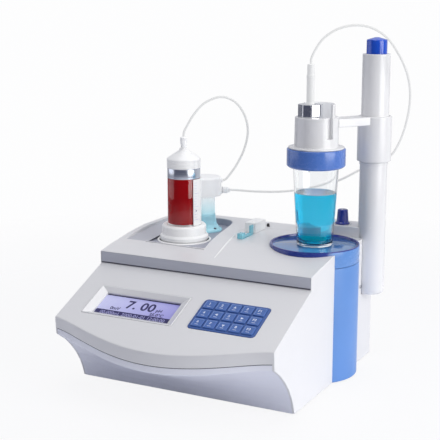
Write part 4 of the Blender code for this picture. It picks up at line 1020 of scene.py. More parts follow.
# ---------------------------------------------------------------- magnetic stirrer
SEAM_Z, DISC_Z, RIM_Z = 0.1720, 0.1940, 0.1965
S = (STIR_X, STIR_Y)
piece("stirrer_barrel", lathe(turned([(STIR_R, 0.0020, 0.0012), (STIR_R, SEAM_Z - GAP - 0.0002, 0.0006),
                                      (STIR_R - 0.0025, SEAM_Z - GAP - 0.0002), (STIR_R - 0.0025, 0.0020)], 0.0003), S, 192),
      "drum_blue", "base", ("stirrer_drum",))
piece("stirrer_plate", lathe(turned([(0, DISC_Z), (STIR_R - 0.0044, DISC_Z, 0.0004), (STIR_R - 0.0044, DISC_Z - 0.0008), (0, DISC_Z - 0.0008)], 0.0002, 2), S, 192),
      "disc_blue", "base")
piece("stirrer_cap", lathe(turned([(0, DISC_Z - 0.0003), (STIR_R - 0.0040, DISC_Z - 0.0003, 0.0004), (STIR_R - 0.0030, RIM_Z, 0.0007),
                                   (STIR_R - 0.0002, RIM_Z, 0.0006), (STIR_R - 0.0004, RIM_Z - 0.0010, 0.0001),
                                   (STIR_R - 0.0008, RIM_Z - 0.0014, 0.0001), (STIR_R - 0.0008, SEAM_Z, 0.0003), (STIR_R - 0.0025, SEAM_Z),
                                   (STIR_R - 0.0025, DISC_Z - 0.0025), (0, DISC_Z - 0.0025)], 0.0003), S, 192),
      "navy_plastic", "base", ("stirrer_top",))
piece("stirrer_collar", lathe(turned([(STIR_R - 0.0006, RIM_Z - 0.0012), (STIR_R, RIM_Z - 0.0012, 0.0004), (STIR_R, SEAM_Z + 0.0002, 0.0005),
                                      (STIR_R - 0.0006, SEAM_Z + 0.0002)], 0.0001, 3), S, 192), "collar_shade_blue", "base")

# ---------------------------------------------------------------- speed knob
KZ = LEDGE_Z + GAP


def knob_wave(a, r, z):
    return r * (1 - 0.030 * (0.5 + 0.5 * math.cos(18 * a)) ** 2) if KZ + 0.004 < z < KZ + 0.0205 and r > 0.006 else r


knob = lathe(turned([(0, KZ + 0.0222), (0.0052, KZ + 0.0222, 0.0003), (0.0056, KZ + 0.0216, 0.0003), (0.0068, KZ + 0.0222, 0.0006),
                     (0.0078, KZ + 0.0210, 0.0008), (0.0080, KZ + 0.0190, 0), (0.0083, KZ + 0.0150, 0), (0.0086, KZ + 0.0100, 0),
                     (0.0090, KZ + 0.0050, 0), (0.0091, KZ + 0.0034, 0.0008), (0.0112, KZ + 0.0016, 0.0008), (0.0112, KZ, 0.0003),
                     (0.0030, KZ), (0.0030, 0.1990), (0, 0.1990)], 0.0003), (KNOB_X, KNOB_Y), 144, wave=knob_wave)
pointer = block((KNOB_X - 0.0005, KNOB_Y - 0.0050, KZ + 0.0221), (KNOB_X + 0.0005, KNOB_Y - 0.0008, KZ + 0.02235), 0.0001, 1)
piece("speed_knob_cap", knob, "navy_plastic", "speed_knob", ("speed_knob",), angle=40,
      joined=((pointer, "legend"),))
ticks = []
for k in range(11):
    a = math.radians(-90 - 140 + 28 * k)
    u = Vector((math.cos(a), math.sin(a), 0))
    v = Vector((-math.sin(a), math.cos(a), 0))
    ticks.append(prism(rounded(0.0136, 0, 0.0022, 0.0005, 0.0001, 1), 0, 0.00012,
                       in_plane(Vector((KNOB_X, KNOB_Y, LEDGE_Z - 0.00002)), u, v)))
piece("speed_scale", merged(*ticks), "navy_ink", "base")

# ---------------------------------------------------------------- piston burette
B = (BUR_X, BUR_Y)
GLASS_R, GLASS_IN, PISTON_TOP = 0.0248, 0.0230, 0.2120
piece("burette_socket", lathe(turned([(0.0256, BAY_FLOOR + GAP), (0.0350, BAY_FLOOR + GAP, 0.0002), (0.0350, 0.1876, 0.0004), (0.0368, 0.1882, 0.0007),
                                      (0.0368, 0.1930, 0.0010), (0.0350, 0.1952, 0.0010), (0.0336, 0.1958, 0.0010), (0.0336, 0.2080, 0.0016),
                                      (0.0316, 0.2105, 0.0012), (0.0268, 0.2105, 0.0006), (0.0256, 0.2096, 0.0004)], 0.0004, 4),
                              B, 128), "white_glow", "base", ("burette_collar",), angle=40)
piece("socket_shade", lathe(turned([(0.0351, BAY_FLOOR + 0.0002), (0.0378, BAY_FLOOR + 0.0002), (0.0378, BAY_FLOOR + 0.0010), (0.0351, BAY_FLOOR + 0.0010)], 0.0001, 1),
                            B, 128), "shadow_and_screw_dark", "base")
piece("socket_seat", lathe(turned([(0.0380, BAY_FLOOR + 0.0002), (0.0412, BAY_FLOOR + 0.0002), (0.0412, BAY_FLOOR + 0.0012, 0.0006),
                                   (0.0400, BAY_FLOOR + 0.0022, 0.0008), (0.0385, BAY_FLOOR + 0.0022, 0.0006), (0.0380, BAY_FLOOR + 0.0018, 0.0003)],
                                  0.0003, 3), B, 128), "white_glow", "base")
piece("burette_cylinder", lathe(turned([(GLASS_IN, 0.1905), (GLASS_R, 0.1905), (GLASS_R, 0.2812), (GLASS_IN, 0.2812)], 0.0004, 3),
                                B, 128), "burette_glass", "base", ("burette_glass",))
liquid = piece("titrant_fill", lathe(turned([(0, PISTON_TOP + GAP), (GLASS_IN + 0.00015, PISTON_TOP + GAP),
                                             (GLASS_IN + 0.00015, 0.2810), (0, 0.2810)], 0.0006, 3), B, 128),
               "titrant_red", "base", ("titrant",))
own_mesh(liquid)
piece("glass_ring", lathe(turned([(GLASS_IN, 0.2815), (0.0249, 0.2815, 0.0006), (0.0249, 0.2830, 0.0001), (0.0246, 0.2833, 0.0001),
                                  (0.0249, 0.2836, 0.0001), (0.0249, 0.2967, 0.0006), (GLASS_IN, 0.2967)], 0.0002, 3), B, 128),
      "ring_chrome", "base", ("chrome_ring",))
cap_profile = [(0, 0.2905), (GLASS_IN - GAP, 0.2905), (GLASS_IN - GAP, 0.2970, 0.0002), (0.0255, 0.2970, 0.0005)]
for k in range(5):
    z = 0.2986 + 0.0021 * k
    cap_profile += [(0.0255, z, 0.0001), (0.02515, z + 0.0003, 0.0001), (0.02515, z + 0.0006, 0.0001), (0.0255, z + 0.0009, 0.0001)]
cap_profile += [(0.0255, 0.3100, 0.0008), (0.0242, 0.3116, 0.0010), (0.0066, 0.3234, 0.0012), (0.0060, 0.3262, 0.0005),
                (0, 0.3262)]
piece("burette_top", lathe(turned(cap_profile, 0.0003, 3), B, 128), "white_glow", "base", ("burette_cap",), angle=40)


def nut_wave(lo, hi, count, depth):
    return lambda a, r, z: r * (1 - depth * (0.5 + 0.5 * math.cos(count * a))) if lo < z < hi else r


piece("cap_nut", lathe(turned([(0, 0.3265), (0.0042, 0.3265), (0.0042, 0.3322, 0.0004), (0.0053, 0.3332, 0.0005), (0.0053, 0.3350, 0),
                               (0.0053, 0.3400, 0), (0.0053, 0.3415, 0.0006), (0.0036, 0.3430, 0.0005), (0, 0.3430)], 0.0002, 3),
                       B, 96, wave=nut_wave(0.3336, 0.3412, 14, 0.07)), "valve_white", "base", ("cap_fitting",), angle=45)


def arc_wall(r0, r1, a0, a1, steps):
    pts = [(BUR_X + r * math.cos(a), BUR_Y + r * math.sin(a), (0.0004 if i in (0, steps) else 0))
           for r, turn in ((r1, range(steps + 1)), (r0, range(steps, -1, -1)))
           for i in turn for a in [math.radians(a0 + (a1 - a0) * i / steps)]]
    return soften(pts, steps=3)


piece("burette_shield", prism(arc_wall(0.0251, 0.0264, -28, 150, 64), 0.2108, 0.2812, edge=0.0003), "white_glow", "base",
      ("scale_shield",), angle=40)
a = math.radians(-17.3)
piece("shield_screw", screw_head((BUR_X + 0.0264 * math.cos(a), BUR_Y + 0.0264 * math.sin(a), 0.2335), (math.cos(a), math.sin(a), 0),
                                 0.0011, 0.0005), "steel", "base")
marks = []
for k in range(15):
    z = 0.2200 + 0.0040 * k
    for j in range(7 if k % 5 == 0 else 4):
        a0 = math.radians(-24 + 3.0 * j)
        marks.append(prism(rounded(0, 0, 0.0264 * math.radians(3.0), 0.00028, 0.0001, 1), 0.0, 0.00006,
                           in_plane(Vector((BUR_X + 0.02639 * math.cos(a0), BUR_Y + 0.02639 * math.sin(a0), z)),
                                    Vector((-math.sin(a0), math.cos(a0), 0)), Z)))
piece("shield_scale", merged(*marks), "pale_ink", "base")

# ---------------------------------------------------------------- changeover valve
V = (VAL_X, VAL_Y)
piece("valve_foot", lathe(turned([(0, BAY_FLOOR + GAP), (0.0250, BAY_FLOOR + GAP, 0.0005), (0.0250, 0.1880, 0.0010), (0.0210, 0.1905, 0.003),
                                  (0.0172, 0.1960, 0.006), (0.0152, 0.2040, 0.006), (0.0145, 0.2120, 0.0004), (0, 0.2120)], 0.0003, 5), V, 96),
      "cyan_clear", "base", ("valve_base",))
piece("valve_barrel", lathe(turned([(0, 0.2123), (0.0139, 0.2123, 0.0004), (0.0139, 0.2165, 0.0001), (0.0136, 0.2168, 0.0001),
                                    (0.0139, 0.2171, 0.0001), (0.0139, 0.2412, 0.0004), (0, 0.2412)], 0.0003, 3), V, 96),
      "valve_frost", "base", ("valve_body",))
PORT = math.radians(27.6)
port_dir = Vector((math.cos(PORT), math.sin(PORT), 0))
port_side = Vector((-math.sin(PORT), math.cos(PORT), 0))
PORT_Z = 0.2497
port_at = Vector((VAL_X, VAL_Y, PORT_Z))


def along(profile, at, u, v, steps=48, wave=None):
    w = u.cross(v)
    bm = lathe(profile, steps=steps, wave=wave)
    for vert in bm.verts:
        x, y, z = vert.co
        vert.co = at + u * x + v * y + w * z
    return bm


head_body = carve(
    lathe(turned([(0.0082, 0.2415), (0.0232, 0.2415, 0.0006), (0.0238, 0.2440, 0.0006), (0.0238, 0.2692, 0.0022), (0.0215, 0.2717, 0.0016),
                  (0, 0.2717), (0, 0.2625), (0.0082, 0.2625)], 0.0003, 4), V, 96),
    ("join", along(turned([(0, 0.0200), (0.0062, 0.0200), (0.0062, 0.0252, 0.0004), (0, 0.0252)], 0.0002, 2), port_at, port_side, Z, 48)))
piece("valve_turret", head_body, "valve_white", "base", ("valve_head",), angle=35)
piece("valve_nut", along(turned([(0, 0.0256), (0.0048, 0.0256, 0.0003), (0.0051, 0.0262, 0.0003), (0.0051, 0.0330, 0.0005), (0.0037, 0.0348, 0.0004),
                                 (0.0034, 0.0375, 0.0003), (0, 0.0375)], 0.0002, 3), port_at, port_side, Z, 96,
                         wave=nut_wave(0.0264, 0.0328, 14, 0.07)), "valve_white", "base", ("valve_fitting",), angle=45)
# Dark ring between the boss and the nut: painted shadow in the gap.
piece("port_shadow_ring", along(turned([(0, 0.02525), (0.0056, 0.02525), (0.0056, 0.02555), (0, 0.02555)], 0.0001, 1), port_at, port_side, Z, 48),
      "shadow_and_screw_dark", "base")
piece("foot_screw", screw_head((VAL_X + 0.0196, VAL_Y - 0.0075, 0.1906), (0.25, -0.05, 1), 0.0021, 0.0011), "shadow_and_screw_dark", "base")

gland_u = Vector((0.8926, 0.4509, 0))
gland_v = Vector((-0.4509, 0.8926, 0))
piece("tube_gland", along(turned([(0, 0.0230), (0.0036, 0.0230), (0.0036, 0.0250, 0.0004), (0.0027, 0.0264, 0.0004), (0, 0.0264)], 0.0002, 3),
                          Vector((VAL_X, VAL_Y, 0.2650)), gland_v, Z, 40), "valve_white", "base")

# Glowing white cover of the small block, painted light that brightens it, and the rest for the delivery tip on the
# deck.
piece("block_glow_cover", block((-0.00618, 0.20332, DECK_Z_RIGHT + 0.0003), (0.01198, 0.24018, LEDGE_Z + 0.0002), 0.0010, 3), "white_glow", "base")
rest = carve(block((0.004, 0.157, DECK_Z_RIGHT + GAP), (0.0125, 0.168, 0.2020), 0.0005),
             ("join", block((0.0080, 0.165, DECK_Z_RIGHT + GAP), (0.0125, 0.196, 0.1978), 0.0004)),
             ("join", block((0.0098, 0.186, DECK_Z_RIGHT + GAP), (0.0125, 0.196, 0.2090), 0.0004)))
piece("deck_rest", rest, "cyan_rest", "base", ("tip_rest",), angle=30)
piece("deck_plug", lathe(turned([(0, DECK_Z_RIGHT + 0.0001), (0.0024, DECK_Z_RIGHT + 0.0001), (0.0024, 0.1960, 0.0004), (0.0018, 0.1985, 0.0006),
                                 (0, 0.1985)], 0.0002, 3), (0.0078, 0.2585), 32), "black_plastic", "base")

# ---------------------------------------------------------------- column and carriage
C = (COL_X, COL_Y)
piece("column_tube", lathe(turned([(0, COL_BOTTOM), (COL_R - 0.0010, COL_BOTTOM, 0.006), (COL_R, COL_BOTTOM + 0.0075, 0.003), (COL_R, COL_TOP, 0.0009),
                                   (0.0163, COL_TOP, 0.0004), (0.0163, COL_TOP - 0.022), (0, COL_TOP - 0.022)], 0.0003, 5), C, 128),
      "white_gloss", "base", ("column",))
piece("column_button", lathe(turned([(0, COL_TOP - 0.0217), (0.0151, COL_TOP - 0.0217), (0.0151, COL_TOP + 0.0194, 0.0010),
                                     (0.0143, COL_TOP + 0.0206, 0.0006), (0.0030, COL_TOP + 0.0238, 0.004), (0, COL_TOP + 0.0240)], 0.0003, 4), C, 96),
      "royal_blue", "base", ("column_cap",))
piece("column_stop", lathe(turned([(COL_R + 0.0001, 0.3050), (COL_R + 0.0009, 0.3050, 0.0003), (COL_R + 0.0009, 0.3078, 0.0003), (COL_R + 0.0001, 0.3078)],
                                  0.0001, 2), C, 128), "white_gloss", "base")
ARM_Z0, ARM_Z1, SLEEVE_Z0, SLEEVE_R = 0.3650, 0.3770, 0.3102, 0.0252
arm_u = Vector((math.cos(ARM_ANGLE), math.sin(ARM_ANGLE), 0))
arm_v = Vector((-math.sin(ARM_ANGLE), math.cos(ARM_ANGLE), 0))
arm_l = math.hypot(COL_X - STIR_X, COL_Y - STIR_Y)
arm = prism([(0.020, -0.0154), (arm_l, -0.0154), (arm_l, 0.0154), (0.020, 0.0154)], ARM_Z0, ARM_Z1,
            in_plane(Vector((STIR_X, STIR_Y, 0)), arm_u, arm_v), 0.0014, 3)
sleeve = carve(
    lathe(turned([(0, SLEEVE_Z0), (SLEEVE_R, SLEEVE_Z0, 0.0010), (SLEEVE_R, 0.3768, 0.0012), (0, 0.3768)], 0.0003, 4), C, 128),
    ("join", arm),
    ("cut", lathe([(0, 0.30), (COL_R + GAP, 0.30), (COL_R + GAP, 0.39), (0, 0.39)], C, 128)),
    ("cut", lathe([(0, 0.30), (0.0322, 0.30), (0.0322, 0.39), (0, 0.39)], S, 128)))
piece("carriage_sleeve", sleeve, "white_gloss", "carriage", ("carriage",), angle=30, weighted=True)

# ---------------------------------------------------------------- titration head
HEAD_LOW, HEAD_TOP, WALL_TOP = 0.3160, 0.3815, 0.3998
wedge = [S] + [(STIR_X + 0.045 * math.cos(math.radians(a)), STIR_Y + 0.045 * math.sin(math.radians(a))) for a in range(-200, -9, 19)]
slot_u = Vector((math.cos(SLOT_ANGLE), math.sin(SLOT_ANGLE), 0))
slot_v = Vector((-math.sin(SLOT_ANGLE), math.cos(SLOT_ANGLE), 0))
ports = [(STIR_X + 0.017 * math.cos(math.radians(60 + 90 * i)), STIR_Y + 0.017 * math.sin(math.radians(60 + 90 * i))) for i in range(2)]


def bore(centre, r, low, high, steps=40):
    return lathe([(0, low), (r, low), (r, high), (0, high)], centre, steps)


head = carve(
    lathe(turned([(0, HEAD_LOW), (0.0365, HEAD_LOW, 0.0006), (0.0365, 0.3362, 0.0002), (0.0404, 0.3362, 0.0005), (0.0404, 0.3384, 0.0006),
                  (0.0319, 0.3386, 0.0010), (0.0313, 0.3812, 0.0007), (0.0265, 0.3818, 0.0005), (0.0262, WALL_TOP, 0.0006),
                  (0.0240, WALL_TOP, 0.0006), (0.0240, 0.3760, 0.0004), (0, 0.3760)], 0.0003, 4), S, 128),
    ("cut", prism(wedge, HEAD_TOP, 0.42)),
    ("cut", bore((GRIP_X, GRIP_Y), 0.0182, 0.3758, 0.3835, 64)),
    ("cut", prism(rounded(0.035, -0.0006, 0.020, 0.0112, 0.0006, 2), 0.3518, 0.42, in_plane(Vector((STIR_X, STIR_Y, 0)), slot_u, slot_v))),
    ("cut", bore((GRIP_X, GRIP_Y), 0.0034, 0.30, 0.3700)),
    ("cut", bore((GRIP_X, GRIP_Y), 0.0062, 0.3699, 0.40)),
    ("cut", bore(ports[0], 0.0062, 0.30, 0.40)),
    ("cut", bore(ports[1], 0.0062, 0.30, 0.40)))
piece("head_body", head, "white_gloss", "carriage", ("titration_head",), angle=30, weighted=True)
inner = [(STIR_X + r * math.cos(math.radians(-8 + 166 * i / 64)), STIR_Y + r * math.sin(math.radians(-8 + 166 * i / 64)))
         for r, turn in ((0.02393, range(65)), (0.02370, range(64, -1, -1))) for i in turn]
# Thin glowing sheet on the inside of the head's back wall: painted light that lifts the wall out of its shade; the real
# head has no such lining.
piece("head_wall_glow", prism(inner, 0.3764, WALL_TOP - 0.0005), "wall_glow_white", "carriage", angle=40)
flutes = []
for i in range(8):
    a = math.radians(45 * i + 5)
    for da, r in ((-17.5, 0.0176), (17.5, 0.0176), (20, 0.0164), (25, 0.0164)):
        flutes.append((GRIP_X + r * math.cos(a + math.radians(da)), GRIP_Y + r * math.sin(a + math.radians(da))))
grip = carve(prism(flutes, 0.3763, 0.3993, edge=0.0005), ("cut", bore((GRIP_X, GRIP_Y), 0.0062, 0.35, 0.42)),
             ("cut", bore(ports[0], 0.0066, 0.36, 0.42)), ("cut", bore(ports[1], 0.0066, 0.36, 0.42)))
piece("grip_block", grip, "brushed", "carriage", ("electrode_block",), angle=20)
piece("cup_ring", lathe(turned([(0.0346, 0.3084), (0.0388, 0.3084, 0.0020), (0.0425, 0.3112, 0.0026), (0.0425, 0.3350, 0.0008), (0.0417, 0.3359, 0.0004),
                                (0.0370, 0.3359), (0.0370, 0.3162), (0.0382, 0.3162), (0.0382, 0.3110), (0.0346, 0.3110)], 0.0003, 5), S, 160),
      "blue_plastic", "clamp_ring", ("clamp_ring",))

# ---------------------------------------------------------------- cup, sample, stirring bar
CUP_Z = DISC_Z + GAP
piece("cup_glass", lathe(turned([(0, CUP_Z + 0.0008), (0.0215, CUP_Z + 0.0006, 0.0006), (0.0232, CUP_Z, 0.0005), (0.0256, CUP_Z, 0.0012),
                                 (0.0263, CUP_Z + 0.0020, 0.0015), (0.0334, 0.3113, 0.0010), (0.0378, 0.3113, 0.0006), (0.0378, 0.3157, 0.0010),
                                 (0.0318, 0.3157, 0.0010), (0.0245, CUP_Z + 0.0060, 0.0034), (0.0205, CUP_Z + 0.0033, 0.0026),
                                 (0, CUP_Z + 0.0030)], 0.0003, 6), S, 192), "clear_glass", "carriage", ("cup",))


def cup_in(z, gap):
    return 0.0245 + (z - (CUP_Z + 0.0090)) * (0.0318 - 0.0245) / (0.3157 - (CUP_Z + 0.0090)) - gap


piece("sample", lathe(turned([(0, CUP_Z + 0.0029), (0.0205, CUP_Z + 0.0032, 0.0026), (cup_in(0.2015, -0.00015), 0.2015, 0.003), (cup_in(0.2706, -0.00015), 0.2706, 0.0001),
                              (cup_in(0.2713, -0.00015), 0.2717, 0.0001), (cup_in(0.2713, 0.0009), 0.2713, 0.0004), (0, 0.2712)], 0.0003, 6), S, 192),
      "sample_cyan", "carriage", ("cup_liquid",))
bar_at = Vector((STIR_X, STIR_Y, CUP_Z + 0.0104))
piece("stirring_bar", along(turned([(0, -0.0145), (0.0022, -0.0143, 0.0008), (0.0035, -0.0122, 0.0012), (0.0035, -0.0016, 0.0002),
                                    (0.0037, -0.0012, 0.0002), (0.0037, 0.0012, 0.0002), (0.0035, 0.0016, 0.0002),
                                    (0.0035, 0.0122, 0.0012), (0.0022, 0.0143, 0.0008), (0, 0.0145)], 0.0002, 3), bar_at, Y, Z, 48),
      "ptfe", "stir_bar", ("stir_bar",))
G = (GRIP_X, GRIP_Y)
piece("delivery_sleeve", lathe(turned([(0, 0.3010), (0.0011, 0.3010, 0.0001), (0.0030, 0.3080, 0.0008), (0.0030, 0.3703, 0.0001), (0.0058, 0.3703, 0.0003),
                                       (0.0058, 0.4020, 0.0001), (0.0056, 0.4023, 0.0001), (0.0056, 0.4030, 0.0001), (0.0058, 0.4033, 0.0001),
                                       (0.0058, 0.4360, 0.0002), (0.0061, 0.4366, 0.0002), (0.0061, 0.4405, 0.0004), (0.0053, 0.4412, 0.0002),
                                       (0.0053, 0.4556, 0.0005), (0, 0.4560)], 0.0002, 3), G, 64),
      "ptfe_glow", "carriage", ("delivery_tube",))


# ---------------------------------------------------------------- tubing
def smooth_route(points, count):
    pts = [Vector(p) for p in points]
    pts = [pts[0] * 2 - pts[1]] + pts + [pts[-1] * 2 - pts[-2]]
    fine = []
    for i in range(1, len(pts) - 2):
        a, b, c, d = pts[i - 1:i + 3]
        ts = [0.0]
        for p, q in ((a, b), (b, c), (c, d)):
            ts.append(ts[-1] + max(1e-5, (q - p).length) ** 0.5)
        for k in range(24):
            t = ts[1] + (ts[2] - ts[1]) * k / 24
            a1 = a * ((ts[1] - t) / (ts[1] - ts[0])) + b * ((t - ts[0]) / (ts[1] - ts[0]))
            a2 = b * ((ts[2] - t) / (ts[2] - ts[1])) + c * ((t - ts[1]) / (ts[2] - ts[1]))
            a3 = c * ((ts[3] - t) / (ts[3] - ts[2])) + d * ((t - ts[2]) / (ts[3] - ts[2]))
            b1 = a1 * ((ts[2] - t) / (ts[2] - ts[0])) + a2 * ((t - ts[0]) / (ts[2] - ts[0]))
            b2 = a2 * ((ts[3] - t) / (ts[3] - ts[1])) + a3 * ((t - ts[1]) / (ts[3] - ts[1]))
            fine.append(b1 * ((ts[2] - t) / (ts[2] - ts[1])) + b2 * ((t - ts[1]) / (ts[2] - ts[1])))
    fine.append(pts[-2])
    run = [0.0]
    for p, q in zip(fine, fine[1:]):
        run.append(run[-1] + (q - p).length)
    out, k = [], 0
    for i in range(count):
        want = run[-1] * i / (count - 1)
        while k < len(run) - 2 and run[k + 1] < want:
            k += 1
        f = (want - run[k]) / max(1e-9, run[k + 1] - run[k])
        out.append(fine[k].lerp(fine[k + 1], min(1.0, f)))
    return out


def tube_mesh(path, radius, sides=20):
    """Round tube along a path, with its section carried along without twist."""
    bm = bmesh.new()
    rings = []
    side = None
    for i, p in enumerate(path):
        ahead = (path[min(i + 1, len(path) - 1)] - path[max(i - 1, 0)]).normalized()
        side = (ahead.orthogonal() if side is None else side - ahead * side.dot(ahead)).normalized()
        up = ahead.cross(side)
        rings.append([bm.verts.new(p + (side * math.cos(2 * math.pi * k / sides) + up * math.sin(2 * math.pi * k / sides)) * radius)
                      for k in range(sides)])
    for a, b in zip(rings, rings[1:]):
        for i in range(sides):
            j = (i + 1) % sides
            bm.faces.new((a[i], a[j], b[j], b[i]))
    bm.faces.new(rings[0])
    bm.faces.new(rings[-1])
    return bm


bx, by = BUR_X, BUR_Y
TUBE_1 = [(bx, by, 0.3434), (bx + 0.0008, by, 0.3500), (-0.0768, 0.152, 0.3610), (-0.0685, 0.157, 0.3770),
          (-0.0545, 0.166, 0.3940), (-0.0330, 0.178, 0.4025), (-0.0165, 0.190, 0.3945), (-0.0060, 0.200, 0.3750),
          (-0.0045, 0.209, 0.3500), (-0.0155, 0.219, 0.3200), (-0.0335, 0.228, 0.2925), (-0.0500, 0.2355, 0.2740),
          (-0.0591, 0.2381, 0.2658), (-0.0631, 0.23605, 0.2650)]
TUBE_2 = [(port_at.x + port_dir.x * 0.0379, port_at.y + port_dir.y * 0.0379, PORT_Z),
          (port_at.x + port_dir.x * 0.0460, port_at.y + port_dir.y * 0.0460, PORT_Z - 0.0002),
          (-0.0140, 0.2520, 0.2490), (0.0220, 0.2560, 0.2508), (0.0520, 0.2600, 0.2550), (0.0880, 0.2690, 0.2630),
          (0.1180, 0.2810, 0.2735), (0.1430, 0.2960, 0.2880), (0.1650, 0.3030, 0.3000), (0.1900, 0.3010, 0.3125),
          (0.2050, 0.2960, 0.3340), (0.2190, 0.2860, 0.3690), (0.2275, 0.2720, 0.4080), (0.2260, 0.2580, 0.4415),
          (0.2170, 0.2430, 0.4700), (0.2030, 0.2280, 0.4940), (0.1845, 0.2140, 0.5070), (0.1640, 0.2010, 0.5100),
          (0.1430, 0.1900, 0.5040), (0.1260, 0.1810, 0.4905), (0.1155, 0.1752, 0.4720),
          (GRIP_X, GRIP_Y, 0.4620), (GRIP_X, GRIP_Y, 0.4564)]
path_1, path_2 = smooth_route(TUBE_1, 120), smooth_route(TUBE_2, 260)
tube_1 = piece("tube_short", tube_mesh(path_1, TUBE_D / 2), "tube_glow", "base", ("tube_burette_to_valve",), angle=60)
tube_2 = piece("tube_long", tube_mesh(path_2, TUBE_D / 2), "tube_glow", None, ("tube_valve_to_head",), angle=60)
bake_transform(tube_2)

# ---------------------------------------------------------------- back, sides and underside
piece("foot_screw_side", screw_head((HALF_W, 0.2403, 0.1205), (1, 0, 0), 0.0030, 0.0016), "steel", "base")
back = in_plane(Vector((0, BACK_Y + 0.0006, 0)), -X, Z)      # a = -x, b = z, level = outwards (+Y)
louvres = []
for row in range(7):
    for side in (-1, 1):
        louvres.append(prism(rounded(-side * 0.030 + 0.006, 0.0875 + 0.0052 * row, 0.046, 0.0022, 0.0010, 4), 0.0, 0.0009,
                             in_plane(Vector((0, BACK_Y + 0.00055, 0)), -X, Z), 0.0003, 2, both=False))
piece("rear_louvres", merged(*louvres), "rear_grey", "base")
screws = [screw_head((sx * 0.0800, BACK_Y + 0.0006, z), (0, 1, 0), 0.0027, 0.0015) for sx in (-1, 1) for z in (0.035, 0.080, 0.125)]
piece("rear_screws", merged(*screws), "steel", "base")
pins = [block((x - 0.0010, BACK_Y - 0.0190, z - 0.0026), (x + 0.0010, BACK_Y - 0.0060, z + 0.0026), 0.0004, 2)
        for x, z in ((-0.0615, 0.0560), (-0.0485, 0.0560), (-0.0550, 0.0595))]
piece("inlet_pins", merged(*pins), "brass", "base")
contacts = [along(turned([(0, 0.0), (0.0010, 0.0), (0.0010, 0.0090, 0.0006), (0, 0.0094)], 0.0001, 2),
                  Vector((0.012 + 0.028 * i, BACK_Y - 0.0012, 0.056)), -X, Z, 20) for i in range(3)]
piece("socket_contacts", merged(*contacts), "brass", "base")
rings = [along(turned([(0.0071, 0.0045), (0.0088, 0.0045), (0.0088, 0.0062, 0.0004), (0.0071, 0.0062)], 0.0001, 2),
               Vector((0.012 + 0.028 * i, BACK_Y - 0.0038, 0.056)), -X, Z, 48, wave=lambda a, r, z: r * (1 + 0.02 * math.cos(6 * a)) if r > 0.008 else r)
         for i in range(3)]
piece("socket_nuts", merged(*rings), "steel", "base")
frame_in = hoop([(rounded(0.055, 0.056, 0.0310, 0.0250, 0.0020, 4), 0.0), (rounded(0.055, 0.056, 0.0310, 0.0250, 0.0020, 4), 0.0012),
                 (rounded(0.055, 0.056, 0.0290, 0.0230, 0.0018, 4), 0.0020), (rounded(0.055, 0.056, 0.0276, 0.0216, 0.0014, 4), 0.0018),
                 (rounded(0.055, 0.056, 0.0272, 0.0212, 0.0014, 4), 0.0)], in_plane(Vector((0, BACK_Y + 0.00055, 0)), -X, Z))
piece("inlet_frame", frame_in, "black_plastic", "base")
frame_sw = hoop([(rounded(0.021, 0.056, 0.0200, 0.0270, 0.0016, 4), 0.0), (rounded(0.021, 0.056, 0.0200, 0.0270, 0.0016, 4), 0.0010),
                 (rounded(0.021, 0.056, 0.0186, 0.0256, 0.0014, 4), 0.0016), (rounded(0.021, 0.056, 0.0168, 0.0238, 0.0010, 4), 0.0014),
                 (rounded(0.021, 0.056, 0.0164, 0.0234, 0.0010, 4), 0.0)], in_plane(Vector((0, BACK_Y + 0.00055, 0)), -X, Z))
piece("switch_frame", frame_sw, "black_plastic", "base")
pan_screws = [screw_head((x, y, 0.0040), (0, 0, -1), 0.0030, 0.0013) for x, y in ((-0.150, 0.030), (0.150, 0.030), (-0.120, 0.262), (0.155, 0.272), (0.0, 0.150))]
piece("pan_screws", merged(*pan_screws), "steel", "base")
feet = []
for cx, cy, w in ((0.0, 0.022, 0.26), (0.004, 0.268, 0.22)):
    loops = [(rounded(cx, cy, w - 0.0016, 0.0124, 0.0054, 5), 0.0), (rounded(cx, cy, w - 0.0004, 0.0136, 0.0058, 5), 0.0006),
             (rounded(cx, cy, w, 0.014, 0.006, 5), 0.0014), (rounded(cx, cy, w, 0.014, 0.006, 5), 0.0040 - GAP)]
    feet.append(stack(loops, flat))
piece("front_foot", feet[0], "rubber", "base", ("front_foot_strip",))
piece("rear_foot", feet[1], "rubber", "base", ("rear_foot_strip",))

# ---------------------------------------------------------------- CAD nodes that stay: fine materials
KEPT = {"base_pan": "steel_plate", "rear_panel": "rear_grey", "power_switch": "black_plastic", "stirrer_motor": "motor_dark",
        "motor_bracket": "steel_plate", "magnet_rotor": "steel", "drive_motor": "motor_dark", "lead_screw": "steel", "piston": "ptfe",
        "valve_rotor": "ptfe"}
for name, key in KEPT.items():
    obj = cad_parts[name]
    obj.data.materials.clear()
    obj.data.materials.append(M[key])

# ---------------------------------------------------------------- floor, light, camera
scene = bpy.context.scene
scene.view_settings.view_transform = "Standard"


